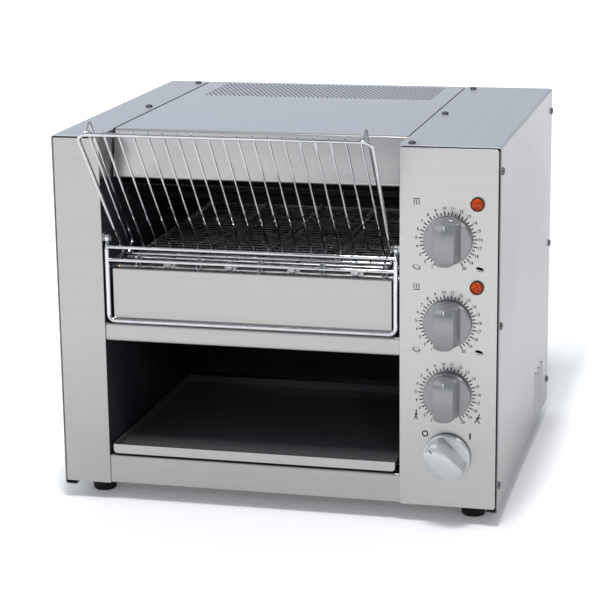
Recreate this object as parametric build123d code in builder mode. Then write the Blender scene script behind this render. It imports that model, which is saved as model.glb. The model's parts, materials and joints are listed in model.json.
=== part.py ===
"""Countertop conveyor bun toaster: folded casing, wire belt, heaters, loading rack and tray.

Units are millimetres. X runs to the right seen from the front, Y to the back and Z up.
Depths are measured back from the casing's front face and heights up from its bottom edge.
"""
import os
from math import asin, cos, degrees, pi, radians, sin

from build123d import *

# Casing
CASE_W = 475.0
CASE_D = 420.0
FOOT_H = 18.0
SHEET = 1.2
BEND_R = 2.5
EDGE_R = 0.8
SEAM = 1.6
REVEAL = 1.3
PILLAR_W = 52.0
CONTROL_W = 103.5
COVER_DROP = 2.0
COVER_FLANGE = 12.0
RETURN_D = 12.0
PANEL_BOTTOM = 2.0
PAN_H = 14.0
WALL_FLANGE = 15.0

# Front openings
LOW_RAIL_TOP = 34.5
LOW_RAIL_RECESS = 1.6
OUTLET_H = 127.5
MID_RAIL_W = 20.0
MID_RAIL_RECESS = 2.0
RAIL_FLANGE = 16.0
SHIELD_SIDE_GAP = 9.25
SHIELD_DEPTH = 5.3
SHIELD_H = 59.9
SHIELD_HEM = 1.8
HOOD_FOLD_D = 51.0
HOOD_LIP_D = 38.0
HOOD_LIP_GAP = 10.0
HOOD_H = 51.5
HOOD_RETURN = 18.0
STRIP_LAP = 20.0

# Air openings
VENT_INSET_L = 23.5
VENT_INSET_R = 21.0
VENT_BACK_INSET = 24.0
VENT_DEPTH = 88.0
VENT_ROWS = 10
VENT_COLS = 30
VENT_HOLE = 4.2
LOUVRE_COUNT = 3
LOUVRE_PITCH = 26.0
LOUVRE_INSET = 98.0
LOUVRE_H = 40.0
LOUVRE_LEN = 50.0
LOUVRE_W = 8.0
LOUVRE_RISE = 1.8
BACK_SLOT_LEN = 34.0
BACK_SLOT_W = 5.0
BACK_SLOT_PITCH = 13.0
BACK_SLOT_COUNT = 9
BACK_SLOT_DROP = 83.5
BACK_SLOT_X = 130.0

# Feet and fasteners
FOOT_SIDE_INSET = 31.0
FOOT_INSET = 40.0
FOOT_R = 14.0
FOOT_TIP_R = 12.5
FOOT_ROUND = 3.0
FOOT_RECESS_R = 5.0
FOOT_RECESS_H = 8.0
FOOT_HEAD_R = 4.6
FOOT_HEAD_H = 3.4
FOOT_BOLT_R = 2.5
FOOT_BOLT_END = 5.0
HEAD_R = 4.0
HEAD_H = 2.3
SHANK_R = 1.9
SHANK_TIP = 0.2
LOW_SCREW_H = 27.0
MID_SCREW_RISE = 16.0
HIGH_SCREW_DROP = 25.5
SIDE_SCREW_FRONT_D = 8.0
SIDE_SCREW_BACK_INSET = 9.0
TOP_SCREW_FRONT_D = 11.0
TOP_SCREW_BACK_INSET = 16.0
TOP_SCREW_SPACING = 197.0
TOP_SCREW_OUTSET = 11.0
FIT = 0.05
SLIDE_GAP = 0.3

# Toast tray
TRAY_SIDE_GAP = 4.75
TRAY_RISE = 2.5
TRAY_H = 10.0
TRAY_BACK_GAP = 143.0
TRAY_ROUND = 4.0
RUNNER_W = 14.0
RUNNER_FRONT_D = 10.0
RUNNER_LEG = 12.0

# Conveyor
BELT_SIDE_GAP = 19.75
BELT_AXIS_RISE = 46.0
BELT_R = 19.3
BELT_T = 1.8
BELT_TURN = 10
DROP_SPACE = 80.0
IDLER_D = 62.0
LINK_COLUMNS = 5
LINK_W = 4.0
LINK_GAP = 0.1
SHAFT_R = 6.0
WHEEL_T = 5.0
WHEEL_HUB_R = 10.0
WHEEL_HUB_T = 14.0
WHEEL_NOTCH_R = 1.6
BUSH_R = 9.0
BUSH_FLANGE_R = 13.0
BUSH_FLANGE_T = 3.0
RUNNER_T = 2.5
RUNNER_BAR_H = 10.0
RUNNER_ROD_R = 4.0
RUNNER_ROD_RISE = 6.0

# Heaters and chamber plates
ELEMENT_R = 4.0
ELEMENT_END = 14.0
TOAST_CLEAR = 53.8
LOWER_RISE = 1.0
ELEMENT_FRONT_GAP = 34.0
ELEMENT_BACK_GAP = 52.345
UPPER_COUNT = 4
LOWER_COUNT = 3
INSULATOR_R = 7.0
INSULATOR_FLANGE_R = 9.5
INSULATOR_FLANGE_T = 4.0
REFLECTOR_GAP = 12.0
REFLECTOR_FRONT_D = 60.0
REFLECTOR_DROP = 18.0
CHUTE_BACK_GAP = 16.0
CHUTE_TOP_GAP = 22.0
CHUTE_KNEE_DROP = 110.0
CHUTE_LAP = 3.0
CHUTE_END_RISE = 6.0
CHUTE_R = 70.0

# Drive
COUPLING_R = 10.0
COUPLING_LEN = 26.0
COUPLING_GAP = 2.0
OUTPUT_R = 5.0
OUTPUT_LEN = 36.0
GEARBOX = 56.0
GEARBOX_T = 34.0
MOTOR_R = 23.0
MOTOR_LEN = 72.0
BRACKET_HALF = 34.0
BRACKET_T = 2.0

# Controls
DIAL_INSET = 53.2
DIAL_TOP_DROP = 96.5
DIAL_LOW_STEP = 87.0
DIAL_SPEED_STEP = 76.0
SWITCH_STEP = 66.5
SWITCH_REST = 45.0
LAMP_INSET = 23.5
LAMP_TOP_RISE = 38.0
LAMP_LOW_RISE = 39.0
KNOB_R = 25.0
KNOB_GAP = 2.0
KNOB_SKIRT = 5.0
KNOB_BEVEL = 1.6
GRIP_BASE_W = 28.0
GRIP_TIP_W = 20.0
GRIP_LEN = 46.0
GRIP_TIP_LEN = 45.0
GRIP_H = 22.0
GRIP_ROUND = 1.6
GRIP_CROWN = 2.5
SPINDLE_R = 3.0
SPINDLE_GRIP = 13.0
SPINDLE_TAIL = 20.0
NECK_R = 5.0
NECK_REACH = 1.2
REGULATOR_W = 44.0
REGULATOR_D = 34.0
SWITCH_W = 50.0
SWITCH_D = 46.0
LAMP_RING_R = 7.3
LAMP_RING_T = 2.2
LAMP_RING_BORE = 5.8
LAMP_BODY_R = 6.4
LAMP_BODY_D = 22.0
LENS_SINK = 6.0
LENS_RISE = 1.6

# Mains entry
GLAND_INSET = 62.5
GLAND_H = 42.0
GLAND_THREAD_R = 8.0
GLAND_FLANGE_R = 12.0
GLAND_FLANGE_T = 4.0
GLAND_REACH = 18.0
GLAND_BORE_R = 4.5
GLAND_NUT_T = 6.0
TERMINAL_L = 46.0
TERMINAL_W = 22.0
TERMINAL_T = 18.0
TERMINAL_INSET = 37.5
TERMINAL_BACK_GAP = 90.0
TERMINAL_WAYS = 4

# Loading rack
LEAN = 39.4
RACK_LEN = 191.3
RACK_FOOT_D = 32.0
RACK_FOOT_RISE = 1.1
RACK_FLARE = 3.5
RACK_SIDE_GAP = 9.75
RACK_BEND = 10.0
HEEL_BEND = 4.0
FRAME_WIRE_R = 2.0
WIRE_R = 1.25
WIRE_COUNT = 19
WIRE_INSET = 7.9
WIRE_POKE = 2.0
GUARD_INSET = 5.0
GUARD_STANDOFF = 15.0
LOOP_WIRE_R = 2.5
LOOP_SIDE_GAP = 4.25
LOOP_D = 2.5
LOOP_DROP = 80.0
LOOP_BEND = 7.0
HIP_BEND = 4.0
BAR_UPPER_RISE = 23.1
BAR_SPACING = 13.8
PIVOT_D = 6.5
PIVOT_RISE = 9.0
EYE_R = 5.0
PIVOT_R = 2.5
PIVOT_HEAD_R = 4.4
PIVOT_HEAD_T = 2.6
PIVOT_TAIL = 5.0

# Worked-out heights, from the base up
TRAY_BOTTOM = LOW_RAIL_TOP + TRAY_RISE
TRAY_LIP_TOP = TRAY_BOTTOM + TRAY_H
CHUTE_END_H = TRAY_LIP_TOP + CHUTE_END_RISE
MID_RAIL_BOTTOM = LOW_RAIL_TOP + OUTLET_H
MID_RAIL_TOP = MID_RAIL_BOTTOM + MID_RAIL_W
SHIELD_TOP = MID_RAIL_TOP + SHIELD_H
BELT_AXIS_H = MID_RAIL_TOP + BELT_AXIS_RISE
BELT_INNER_H = BELT_AXIS_H + BELT_R - BELT_T / 2
RUNNER_ROD_H = BELT_AXIS_H + RUNNER_ROD_RISE
LOWER_H = BELT_AXIS_H + LOWER_RISE
UPPER_H = BELT_INNER_H + BELT_T + TOAST_CLEAR + ELEMENT_R
REFLECTOR_H = UPPER_H + ELEMENT_R + REFLECTOR_GAP
CHUTE_TOP_H = REFLECTOR_H - CHUTE_TOP_GAP
CHUTE_KNEE_H = BELT_AXIS_H - CHUTE_KNEE_DROP
HOOD_LIP_H = REFLECTOR_H + HOOD_LIP_GAP
CASE_H = HOOD_LIP_H + HOOD_H
DIAL_TOP_H = CASE_H - DIAL_TOP_DROP
DIAL_LOW_H = DIAL_TOP_H - DIAL_LOW_STEP
DIAL_SPEED_H = DIAL_LOW_H - DIAL_SPEED_STEP
SWITCH_H = DIAL_SPEED_H - SWITCH_STEP
LAMP_TOP_H = DIAL_TOP_H + LAMP_TOP_RISE
LAMP_LOW_H = DIAL_LOW_H + LAMP_LOW_RISE
BACK_SLOT_H = CASE_H - BACK_SLOT_DROP
BAR_UPPER_H = SHIELD_TOP + BAR_UPPER_RISE
BAR_LOWER_H = BAR_UPPER_H - BAR_SPACING
LOOP_BOTTOM_H = BAR_UPPER_H - LOOP_DROP
RACK_FOOT_H = BAR_LOWER_H + RACK_FOOT_RISE
PIVOT_H = BAR_UPPER_H + PIVOT_RISE
SCREW_HEIGHTS = (LOW_SCREW_H, MID_RAIL_TOP + MID_SCREW_RISE, CASE_H - HIGH_SCREW_DROP)
BASE_Z = FOOT_H
TOP_Z = FOOT_H + CASE_H

# Worked-out widths, from the casing inwards
HALF_W = CASE_W / 2
MOUTH_L = PILLAR_W - HALF_W
MOUTH_R = HALF_W - CONTROL_W
MOUTH_C = (MOUTH_L + MOUTH_R) / 2
MOUTH_HALF = (MOUTH_R - MOUTH_L) / 2
WALL_L = MOUTH_L - SHEET
WALL_R = MOUTH_R + SHEET
FOOT_X = HALF_W - FOOT_SIDE_INSET
DIAL_X = HALF_W - DIAL_INSET
LAMP_X = HALF_W - LAMP_INSET
GLAND_X = HALF_W - GLAND_INSET
TERMINAL_X = HALF_W - TERMINAL_INSET
VENT_LEFT = MOUTH_L + VENT_INSET_L
VENT_RIGHT = MOUTH_R - VENT_INSET_R
SHIELD_HALF = MOUTH_HALF - SHIELD_SIDE_GAP
TRAY_HALF = MOUTH_HALF - TRAY_SIDE_GAP
BELT_HALF = MOUTH_HALF - BELT_SIDE_GAP
LOOP_HALF = MOUTH_HALF - LOOP_SIDE_GAP
RACK_HALF_TOP = MOUTH_HALF - RACK_SIDE_GAP
RACK_HALF_FOOT = RACK_HALF_TOP - RACK_FLARE
WIRE_HALF = RACK_HALF_FOOT - WIRE_INSET
GUARD_HALF = RACK_HALF_FOOT - GUARD_INSET

# Worked-out depths, from the front face back
RACK_U = (-sin(radians(LEAN)), cos(radians(LEAN)))
RACK_N = (cos(radians(LEAN)), sin(radians(LEAN)))
RACK_REACH = RACK_LEN * sin(radians(LEAN)) + FRAME_WIRE_R - RACK_FOOT_D
FRONT_Y = (RACK_REACH - CASE_D - GLAND_REACH) / 2
BACK_Y = FRONT_Y + CASE_D
BELT_PITCH = 2 * BELT_R * sin(pi / BELT_TURN)
BELT_RUN = int((CASE_D - DROP_SPACE - IDLER_D) / BELT_PITCH)
DRIVE_D = IDLER_D + BELT_RUN * BELT_PITCH
WHEEL_R = BELT_R * cos(pi / BELT_TURN) - BELT_T / 2 - SLIDE_GAP
ELEMENT_FIRST_D = IDLER_D + ELEMENT_FRONT_GAP
ELEMENT_LAST_D = DRIVE_D - ELEMENT_BACK_GAP
TRAY_D = CASE_D - TRAY_BACK_GAP
CHUTE_END_D = TRAY_D + CHUTE_LAP
CHUTE_BACK_D = CASE_D - CHUTE_BACK_GAP
VENT_BACK_D = CASE_D - VENT_BACK_INSET
VENT_FRONT_D = VENT_BACK_D - VENT_DEPTH
LOUVRE_D = CASE_D - LOUVRE_INSET
TERMINAL_D = CASE_D - TERMINAL_BACK_GAP
SIDE_SCREW_BACK_D = CASE_D - SIDE_SCREW_BACK_INSET
TOP_SCREW_BACK_D = CASE_D - TOP_SCREW_BACK_INSET
TOP_SCREW_DEPTHS = (TOP_SCREW_FRONT_D, TOP_SCREW_BACK_D - TOP_SCREW_SPACING, TOP_SCREW_BACK_D)


def y_at(depth):
    """Y of a depth behind the casing's front face."""
    return FRONT_Y + depth


def z_at(height):
    """Z of a height above the casing's bottom edge."""
    return BASE_Z + height


def spot(x, depth, height):
    """Point at a width, a depth and a height."""
    return (x, y_at(depth), z_at(height))


def side_points(*pairs):
    """Depth and height pairs as points of the YZ plane."""
    return [(y_at(depth), z_at(height)) for depth, height in pairs]


def along_x(x0, x1, y, z, radius):
    """Round bar from x0 to x1 at one Y and Z."""
    with BuildSketch(Plane.YZ.offset(x0)) as section:
        with Locations((y, z)):
            Circle(radius)
    extrude(section.sketch, amount=x1 - x0)


def bore_along_x(x0, x1, depth, height, radius):
    """Round hole from x0 to x1 at one depth and height."""
    with BuildSketch(Plane.YZ.offset(x0)) as section:
        with Locations((y_at(depth), z_at(height))):
            Circle(radius)
    extrude(section.sketch, amount=x1 - x0, mode=Mode.SUBTRACT)


def block(x0, x1, d0, d1, h0, h1, mode=Mode.ADD):
    """Rectangular body between two widths, depths and heights."""
    with Locations(((x0 + x1) / 2, y_at((d0 + d1) / 2), z_at((h0 + h1) / 2))):
        Box(x1 - x0, d1 - d0, h1 - h0, mode=mode)


def turned_to_front(x, height, depth, steps, bore=0.0):
    """Round stepped body on an axis along Y: steps hold a radius and a length, going back."""
    for radius, length in steps:
        with BuildSketch(Plane.XZ.offset(-y_at(depth))) as section:
            with Locations((x, z_at(height))):
                Circle(radius)
                if bore:
                    Circle(bore, mode=Mode.SUBTRACT)
        extrude(section.sketch, amount=-length)
        depth += length


def folded_sheet(points, x0, x1, radius=BEND_R):
    """Sheet of one thickness bent along a side outline, between two widths."""
    with BuildSketch(Plane.YZ.offset(x0)) as profile:
        with BuildLine():
            FilletPolyline(*points, radius=radius)
        trace(line_width=SHEET)
    extrude(profile.sketch, amount=x1 - x0)


def bent_wire(points, radius, bend):
    """Round wire bent along a line of points."""
    with BuildLine() as path:
        FilletPolyline(*points, radius=bend)
    with BuildSketch(Plane(path.line @ 0, z_dir=path.line % 0)) as section:
        Circle(radius)
    sweep(section.sketch, path=path.line)


def rack_point(x, along, behind=0.0):
    """Point of the leaning rack: width from the mouth's middle, length up it and distance behind it."""
    depth = RACK_FOOT_D + along * RACK_U[0] + behind * RACK_N[0]
    height = RACK_FOOT_H + along * RACK_U[1] + behind * RACK_N[1]
    return spot(MOUTH_C + x, depth, height)


def hand_in(piece, name):
    """Names a finished piece and writes its file."""
    piece.part.label = name
    export_step(piece.part, f"parts/{name}.step")


os.makedirs("parts", exist_ok=True)

# Base pan on four screwed rubber feet
FOOT_SPOTS = [(x, y) for x in (-FOOT_X, FOOT_X) for y in (y_at(FOOT_INSET), y_at(CASE_D - FOOT_INSET))]
PAN_FRONT_D = RETURN_D

with BuildPart() as base_pan:
    block(SHEET - HALF_W, HALF_W - SHEET, PAN_FRONT_D, CASE_D - SHEET, 0, PAN_H)
    fillet(base_pan.edges().filter_by(Axis.Y).group_by(Axis.Z)[0], BEND_R)
    offset(amount=-SHEET, openings=base_pan.faces().sort_by(Axis.Z)[-1])
    with Locations(*[(x, y, BASE_Z + SHEET / 2) for x, y in FOOT_SPOTS]):
        Cylinder(FOOT_BOLT_R + FIT, 2 * SHEET, mode=Mode.SUBTRACT)
hand_in(base_pan, "base_pan")

with BuildPart() as feet:
    with Locations(*FOOT_SPOTS):
        Cone(FOOT_TIP_R, FOOT_R, FOOT_H, align=(Align.CENTER, Align.CENTER, Align.MIN))
    fillet(feet.edges().group_by(Axis.Z)[0], FOOT_ROUND)
    with Locations(*FOOT_SPOTS):
        Cylinder(FOOT_BOLT_R + FIT, 3 * FOOT_H, mode=Mode.SUBTRACT)
        Cylinder(FOOT_RECESS_R, 2 * FOOT_RECESS_H, mode=Mode.SUBTRACT)
hand_in(feet, "feet")

with BuildPart() as foot_screws:
    with Locations(*[(x, y, FOOT_RECESS_H) for x, y in FOOT_SPOTS]):
        Cylinder(FOOT_HEAD_R, FOOT_HEAD_H, align=(Align.CENTER, Align.CENTER, Align.MAX))
        bolt_len = FOOT_H - FOOT_RECESS_H + SHEET + FOOT_BOLT_END
        Cylinder(FOOT_BOLT_R, bolt_len, align=(Align.CENTER, Align.CENTER, Align.MIN))
hand_in(foot_screws, "foot_screws")

# Side covers: side, top strip, bottom flange and the cheek beside the hood
SIDE_SCREWS = [(d, h) for d in (SIDE_SCREW_FRONT_D, SIDE_SCREW_BACK_D) for h in SCREW_HEIGHTS]


def side_cover(side, seam_x, cheek_d):
    """One folded cover; side is -1 on the left and 1 on the right."""
    outer = side * (HALF_W - SHEET / 2)
    low = BASE_Z - COVER_DROP + SHEET / 2
    high = TOP_Z - SHEET / 2
    inner_low = side * (HALF_W - COVER_FLANGE)
    strip_end = seam_x + side * SEAM / 2
    with BuildSketch(Plane.XZ.offset(-BACK_Y)) as profile:
        with BuildLine():
            FilletPolyline((inner_low, low), (outer, low), (outer, high), (strip_end, high), radius=BEND_R)
        trace(line_width=SHEET)
    extrude(profile.sketch, amount=CASE_D)
    cheek = sorted((seam_x, seam_x + side * SHEET))
    block(*cheek, cheek_d, HOOD_FOLD_D - SEAM, HOOD_LIP_H, CASE_H)
    with Locations(*[spot(outer, d, h) for d, h in SIDE_SCREWS]):
        Cylinder(SHANK_R + FIT, 3 * SHEET, rotation=(0, 90, 0), mode=Mode.SUBTRACT)
    with Locations(*[spot(seam_x + side * TOP_SCREW_OUTSET, d, CASE_H) for d in TOP_SCREW_DEPTHS]):
        Cylinder(SHANK_R + FIT, 3 * SHEET, mode=Mode.SUBTRACT)


with BuildPart() as left_cover:
    side_cover(-1, MOUTH_L, SHEET)
hand_in(left_cover, "left_cover")

with BuildPart() as right_cover:
    side_cover(1, MOUTH_R, RETURN_D)
    for i in range(LOUVRE_COUNT):
        start = LOUVRE_D + (i - (LOUVRE_COUNT - 1) / 2) * LOUVRE_PITCH
        low = LOUVRE_H - LOUVRE_LEN / 2
        block(HALF_W - 2 * SHEET, HALF_W + SHEET, start, start + LOUVRE_W, low, low + LOUVRE_LEN,
              mode=Mode.SUBTRACT)
        with BuildSketch(Plane.XY.offset(z_at(low))):
            with BuildLine():
                Polyline((HALF_W - SHEET, y_at(start)), (HALF_W, y_at(start)),
                         (HALF_W + LOUVRE_RISE, y_at(start + LOUVRE_W)),
                         (HALF_W + LOUVRE_RISE - SHEET, y_at(start + LOUVRE_W)),
                         (HALF_W - SHEET, y_at(start)))
            make_face()
        extrude(amount=LOUVRE_LEN)
hand_in(right_cover, "right_cover")

# Front panels
FASCIA_RIGHT = HALF_W - SHEET - REVEAL
PANEL_TOP = CASE_H - SHEET - REVEAL

with BuildPart() as left_front_panel:
    block(SHEET + SLIDE_GAP - HALF_W, MOUTH_L, 0, RETURN_D, PANEL_BOTTOM, PANEL_TOP)
    open_faces = [left_front_panel.faces().sort_by(Axis.Y)[-1], left_front_panel.faces().sort_by(Axis.X)[-1]]
    offset(amount=-SHEET, openings=open_faces)
    block(WALL_L - SHEET, MOUTH_L, SHEET, RETURN_D, 0, CASE_H, mode=Mode.SUBTRACT)
    fillet(left_front_panel.faces().sort_by(Axis.Y)[0].outer_wire().edges(), EDGE_R)
hand_in(left_front_panel, "left_front_panel")

DIAL_HEIGHTS = (DIAL_TOP_H, DIAL_LOW_H, DIAL_SPEED_H, SWITCH_H)
LAMP_HEIGHTS = (LAMP_TOP_H, LAMP_LOW_H)


def control_holes(depth):
    """Holes for the four necks and the two lamps."""
    for heights, x, radius in ((DIAL_HEIGHTS, DIAL_X, NECK_R), (LAMP_HEIGHTS, LAMP_X, LAMP_BODY_R)):
        with Locations(*[spot(x, depth, h) for h in heights]):
            Cylinder(radius + FIT, 3 * SHEET, rotation=(90, 0, 0), mode=Mode.SUBTRACT)


with BuildPart() as fascia:
    block(MOUTH_R, FASCIA_RIGHT, 0, RETURN_D, PANEL_BOTTOM, PANEL_TOP)
    fillet(fascia.edges().filter_by(Axis.Y), BEND_R)
    offset(amount=-SHEET, openings=fascia.faces().sort_by(Axis.Y)[-1])
    fillet(fascia.faces().sort_by(Axis.Y)[0].outer_wire().edges(), EDGE_R)
    control_holes(0)
    bore_along_x(MOUTH_R - SHEET, WALL_R + SHEET, PIVOT_D, PIVOT_H, EYE_R + SLIDE_GAP)
hand_in(fascia, "fascia")

with BuildPart() as control_panel:
    block(MOUTH_R + 2 * SHEET, FASCIA_RIGHT - SHEET, SHEET, 2 * SHEET, PAN_H + SHEET, PANEL_TOP - BEND_R - SHEET)
    control_holes(SHEET)
hand_in(control_panel, "control_panel")

# Inner side walls
def spread(count):
    """Depths of a row of heaters."""
    step = (ELEMENT_LAST_D - ELEMENT_FIRST_D) / (count - 1)
    return [ELEMENT_FIRST_D + i * step for i in range(count)]


ELEMENT_SPOTS = [(d, UPPER_H) for d in spread(UPPER_COUNT)] + [(d, LOWER_H) for d in spread(LOWER_COUNT)]
SHAFT_SPOTS = [(IDLER_D, BELT_AXIS_H), (DRIVE_D, BELT_AXIS_H)]


def inner_wall(side, face_x):
    """Wall beside the toasting chamber, with its foot flange turned away from it."""
    middle = face_x + side * SHEET / 2
    foot = face_x + side * WALL_FLANGE
    low = BASE_Z + 1.5 * SHEET
    high = TOP_Z - 2 * SHEET
    with BuildSketch(Plane.XZ.offset(-y_at(CASE_D - SHEET))) as profile:
        with BuildLine():
            FilletPolyline((foot, low), (middle, low), (middle, high), radius=BEND_R)
        trace(line_width=SHEET)
    extrude(profile.sketch, amount=CASE_D - 2 * SHEET)
    block(*sorted((face_x, foot)), 0, PAN_FRONT_D + SHEET, 0, PAN_H, mode=Mode.SUBTRACT)
    block(*sorted((face_x, foot)), CASE_D - 2 * SHEET, CASE_D, 0, PAN_H, mode=Mode.SUBTRACT)
    block(*sorted((face_x, foot)), 0, RETURN_D, PANEL_TOP - SHEET - BEND_R, CASE_H, mode=Mode.SUBTRACT)
    with Locations(*[spot(middle, d, h) for d, h in ELEMENT_SPOTS]):
        Cylinder(INSULATOR_R + FIT, 4 * SHEET, rotation=(0, 90, 0), mode=Mode.SUBTRACT)
    with Locations(*[spot(middle, d, h) for d, h in SHAFT_SPOTS]):
        Cylinder(BUSH_R + FIT, 4 * SHEET, rotation=(0, 90, 0), mode=Mode.SUBTRACT)
    with Locations(spot(middle, PIVOT_D, PIVOT_H)):
        Cylinder(PIVOT_R + FIT, 4 * SHEET, rotation=(0, 90, 0), mode=Mode.SUBTRACT)


with BuildPart() as inner_left_wall:
    inner_wall(-1, WALL_L)
hand_in(inner_left_wall, "inner_left_wall")

with BuildPart() as inner_right_wall:
    inner_wall(1, WALL_R)
hand_in(inner_right_wall, "inner_right_wall")

# Top cover with the hood and its vent field
with BuildPart() as top_cover:
    half = SHEET / 2
    hood = side_points((HOOD_LIP_D + HOOD_RETURN, HOOD_LIP_H + half), (HOOD_LIP_D, HOOD_LIP_H + half),
                       (HOOD_FOLD_D, CASE_H - half), (CASE_D, CASE_H - half))
    folded_sheet(hood, MOUTH_L + SEAM / 2, MOUTH_R - SEAM / 2)
    for side, seam_x in ((-1, MOUTH_L), (1, MOUTH_R)):
        lap = sorted((seam_x + side * STRIP_LAP, seam_x - side * STRIP_LAP / 2))
        block(*lap, HOOD_FOLD_D + SEAM, CASE_D - SHEET, CASE_H - 2 * SHEET, CASE_H - SHEET)
        with Locations(*[spot(seam_x + side * TOP_SCREW_OUTSET, d, CASE_H) for d in TOP_SCREW_DEPTHS]):
            Cylinder(SHANK_R + FIT, 6 * SHEET, mode=Mode.SUBTRACT)
    col_pitch = (VENT_RIGHT - VENT_LEFT) / VENT_COLS
    row_pitch = (VENT_BACK_D - VENT_FRONT_D) / VENT_ROWS
    with BuildSketch(Plane.XY.offset(z_at(CASE_H - 2 * SHEET))):
        for row in range(VENT_ROWS):
            shift = col_pitch * (0.25 if row % 2 else 0.75)
            depth = VENT_FRONT_D + (row + 0.5) * row_pitch
            with Locations(*[(VENT_LEFT + col * col_pitch + shift, y_at(depth)) for col in range(VENT_COLS)]):
                Rectangle(VENT_HOLE, VENT_HOLE, rotation=45)
    extrude(amount=3 * SHEET, mode=Mode.SUBTRACT)
hand_in(top_cover, "top_cover")

# Rails, front shield panel and back panel
with BuildPart() as bottom_rail:
    face = LOW_RAIL_RECESS + SHEET / 2
    top = LOW_RAIL_TOP - SHEET / 2
    low = PANEL_BOTTOM + SHEET / 2
    folded_sheet(side_points((RETURN_D, low), (face, low), (face, top), (face + RAIL_FLANGE, top)),
                 MOUTH_L, MOUTH_R)
hand_in(bottom_rail, "bottom_rail")

with BuildPart() as mid_rail:
    face = MID_RAIL_RECESS + SHEET / 2
    top = MID_RAIL_TOP - SHEET / 2
    low = MID_RAIL_BOTTOM + SHEET / 2
    folded_sheet(side_points((face + RAIL_FLANGE, low), (face, low), (face, top), (face + RAIL_FLANGE, top)),
                 WALL_L, MOUTH_R)
hand_in(mid_rail, "mid_rail")

with BuildPart() as front_panel:
    face = SHIELD_DEPTH + SHEET / 2
    foot = MID_RAIL_TOP + SHEET / 2
    folded_sheet(side_points((MID_RAIL_RECESS + RAIL_FLANGE, foot), (face, foot), (face, SHIELD_TOP - SHEET / 2),
                             (face + SHIELD_HEM, SHIELD_TOP - SHEET / 2)),
                 MOUTH_C - SHIELD_HALF, MOUTH_C + SHIELD_HALF, radius=SHEET)
hand_in(front_panel, "front_panel")

with BuildPart() as back_panel:
    block(SHEET - HALF_W, HALF_W - SHEET, CASE_D - SHEET, CASE_D, 0, CASE_H - SHEET)
    fillet(back_panel.edges().filter_by(Axis.Y).group_by(Axis.Z)[-1], BEND_R)
    with BuildSketch(Plane.XZ.offset(-y_at(CASE_D + SHEET))):
        for x in (-BACK_SLOT_X, 0, BACK_SLOT_X):
            with Locations((x, z_at(BACK_SLOT_H))):
                with GridLocations(BACK_SLOT_PITCH, 0, BACK_SLOT_COUNT, 1):
                    Rectangle(BACK_SLOT_W, BACK_SLOT_LEN)
        with Locations((GLAND_X, z_at(GLAND_H))):
            Circle(GLAND_THREAD_R + FIT)
    extrude(amount=3 * SHEET, mode=Mode.SUBTRACT)
hand_in(back_panel, "back_panel")

with BuildPart() as cable_gland:
    inside = CASE_D - SHEET - GLAND_NUT_T
    collar = GLAND_REACH - GLAND_FLANGE_T
    turned_to_front(GLAND_X, GLAND_H, inside,
                    ((GLAND_FLANGE_R, GLAND_NUT_T), (GLAND_THREAD_R, SHEET), (GLAND_FLANGE_R, GLAND_FLANGE_T),
                     (GLAND_THREAD_R + SHEET, collar)), bore=GLAND_BORE_R)
hand_in(cable_gland, "cable_gland")

# Chamber plates and chute
with BuildPart() as top_reflector:
    back = DRIVE_D + BELT_R
    height = REFLECTOR_H + SHEET / 2
    folded_sheet(side_points((REFLECTOR_FRONT_D, height), (DRIVE_D, height), (back, height - REFLECTOR_DROP)),
                 WALL_L, WALL_R)
hand_in(top_reflector, "top_reflector")

with BuildPart() as crumb_plate:
    block(WALL_L, WALL_R, RETURN_D, DRIVE_D, MID_RAIL_TOP + SHEET, MID_RAIL_TOP + 2 * SHEET)
hand_in(crumb_plate, "crumb_plate")

with BuildPart() as return_chute:
    folded_sheet(side_points((CHUTE_BACK_D, CHUTE_TOP_H), (CHUTE_BACK_D, CHUTE_KNEE_H), (CHUTE_END_D, CHUTE_END_H)),
                 WALL_L, WALL_R, radius=CHUTE_R)
hand_in(return_chute, "return_chute")

# Toast tray and its runners
with BuildPart() as toast_tray:
    block(MOUTH_C - TRAY_HALF, MOUTH_C + TRAY_HALF, 0, TRAY_D, TRAY_BOTTOM, TRAY_LIP_TOP)
    fillet(toast_tray.edges().filter_by(Axis.Y).group_by(Axis.Z)[0], TRAY_ROUND)
    offset(amount=-SHEET, openings=toast_tray.faces().sort_by(Axis.Z)[-1])
hand_in(toast_tray, "toast_tray")

with BuildPart() as tray_runners:
    shelf_h = TRAY_BOTTOM - SLIDE_GAP - SHEET / 2
    for side, face_x in ((1, WALL_L), (-1, WALL_R)):
        upright = face_x + side * SHEET / 2
        with BuildSketch(Plane.XZ.offset(-y_at(TRAY_D))):
            with BuildLine():
                FilletPolyline((upright, z_at(shelf_h - RUNNER_LEG)), (upright, z_at(shelf_h)),
                               (face_x + side * RUNNER_W, z_at(shelf_h)), radius=SHEET)
            trace(line_width=SHEET)
        extrude(amount=TRAY_D - RAIL_FLANGE - RUNNER_FRONT_D)
hand_in(tray_runners, "tray_runners")

# Heaters through the side walls
HEATER_L = WALL_L - SHEET - ELEMENT_END
HEATER_R = WALL_R + SHEET + ELEMENT_END

with BuildPart() as upper_elements:
    for depth in spread(UPPER_COUNT):
        along_x(HEATER_L, HEATER_R, y_at(depth), z_at(UPPER_H), ELEMENT_R)
hand_in(upper_elements, "upper_elements")

with BuildPart() as lower_elements:
    for depth in spread(LOWER_COUNT):
        along_x(HEATER_L, HEATER_R, y_at(depth), z_at(LOWER_H), ELEMENT_R)
hand_in(lower_elements, "lower_elements")

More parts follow.
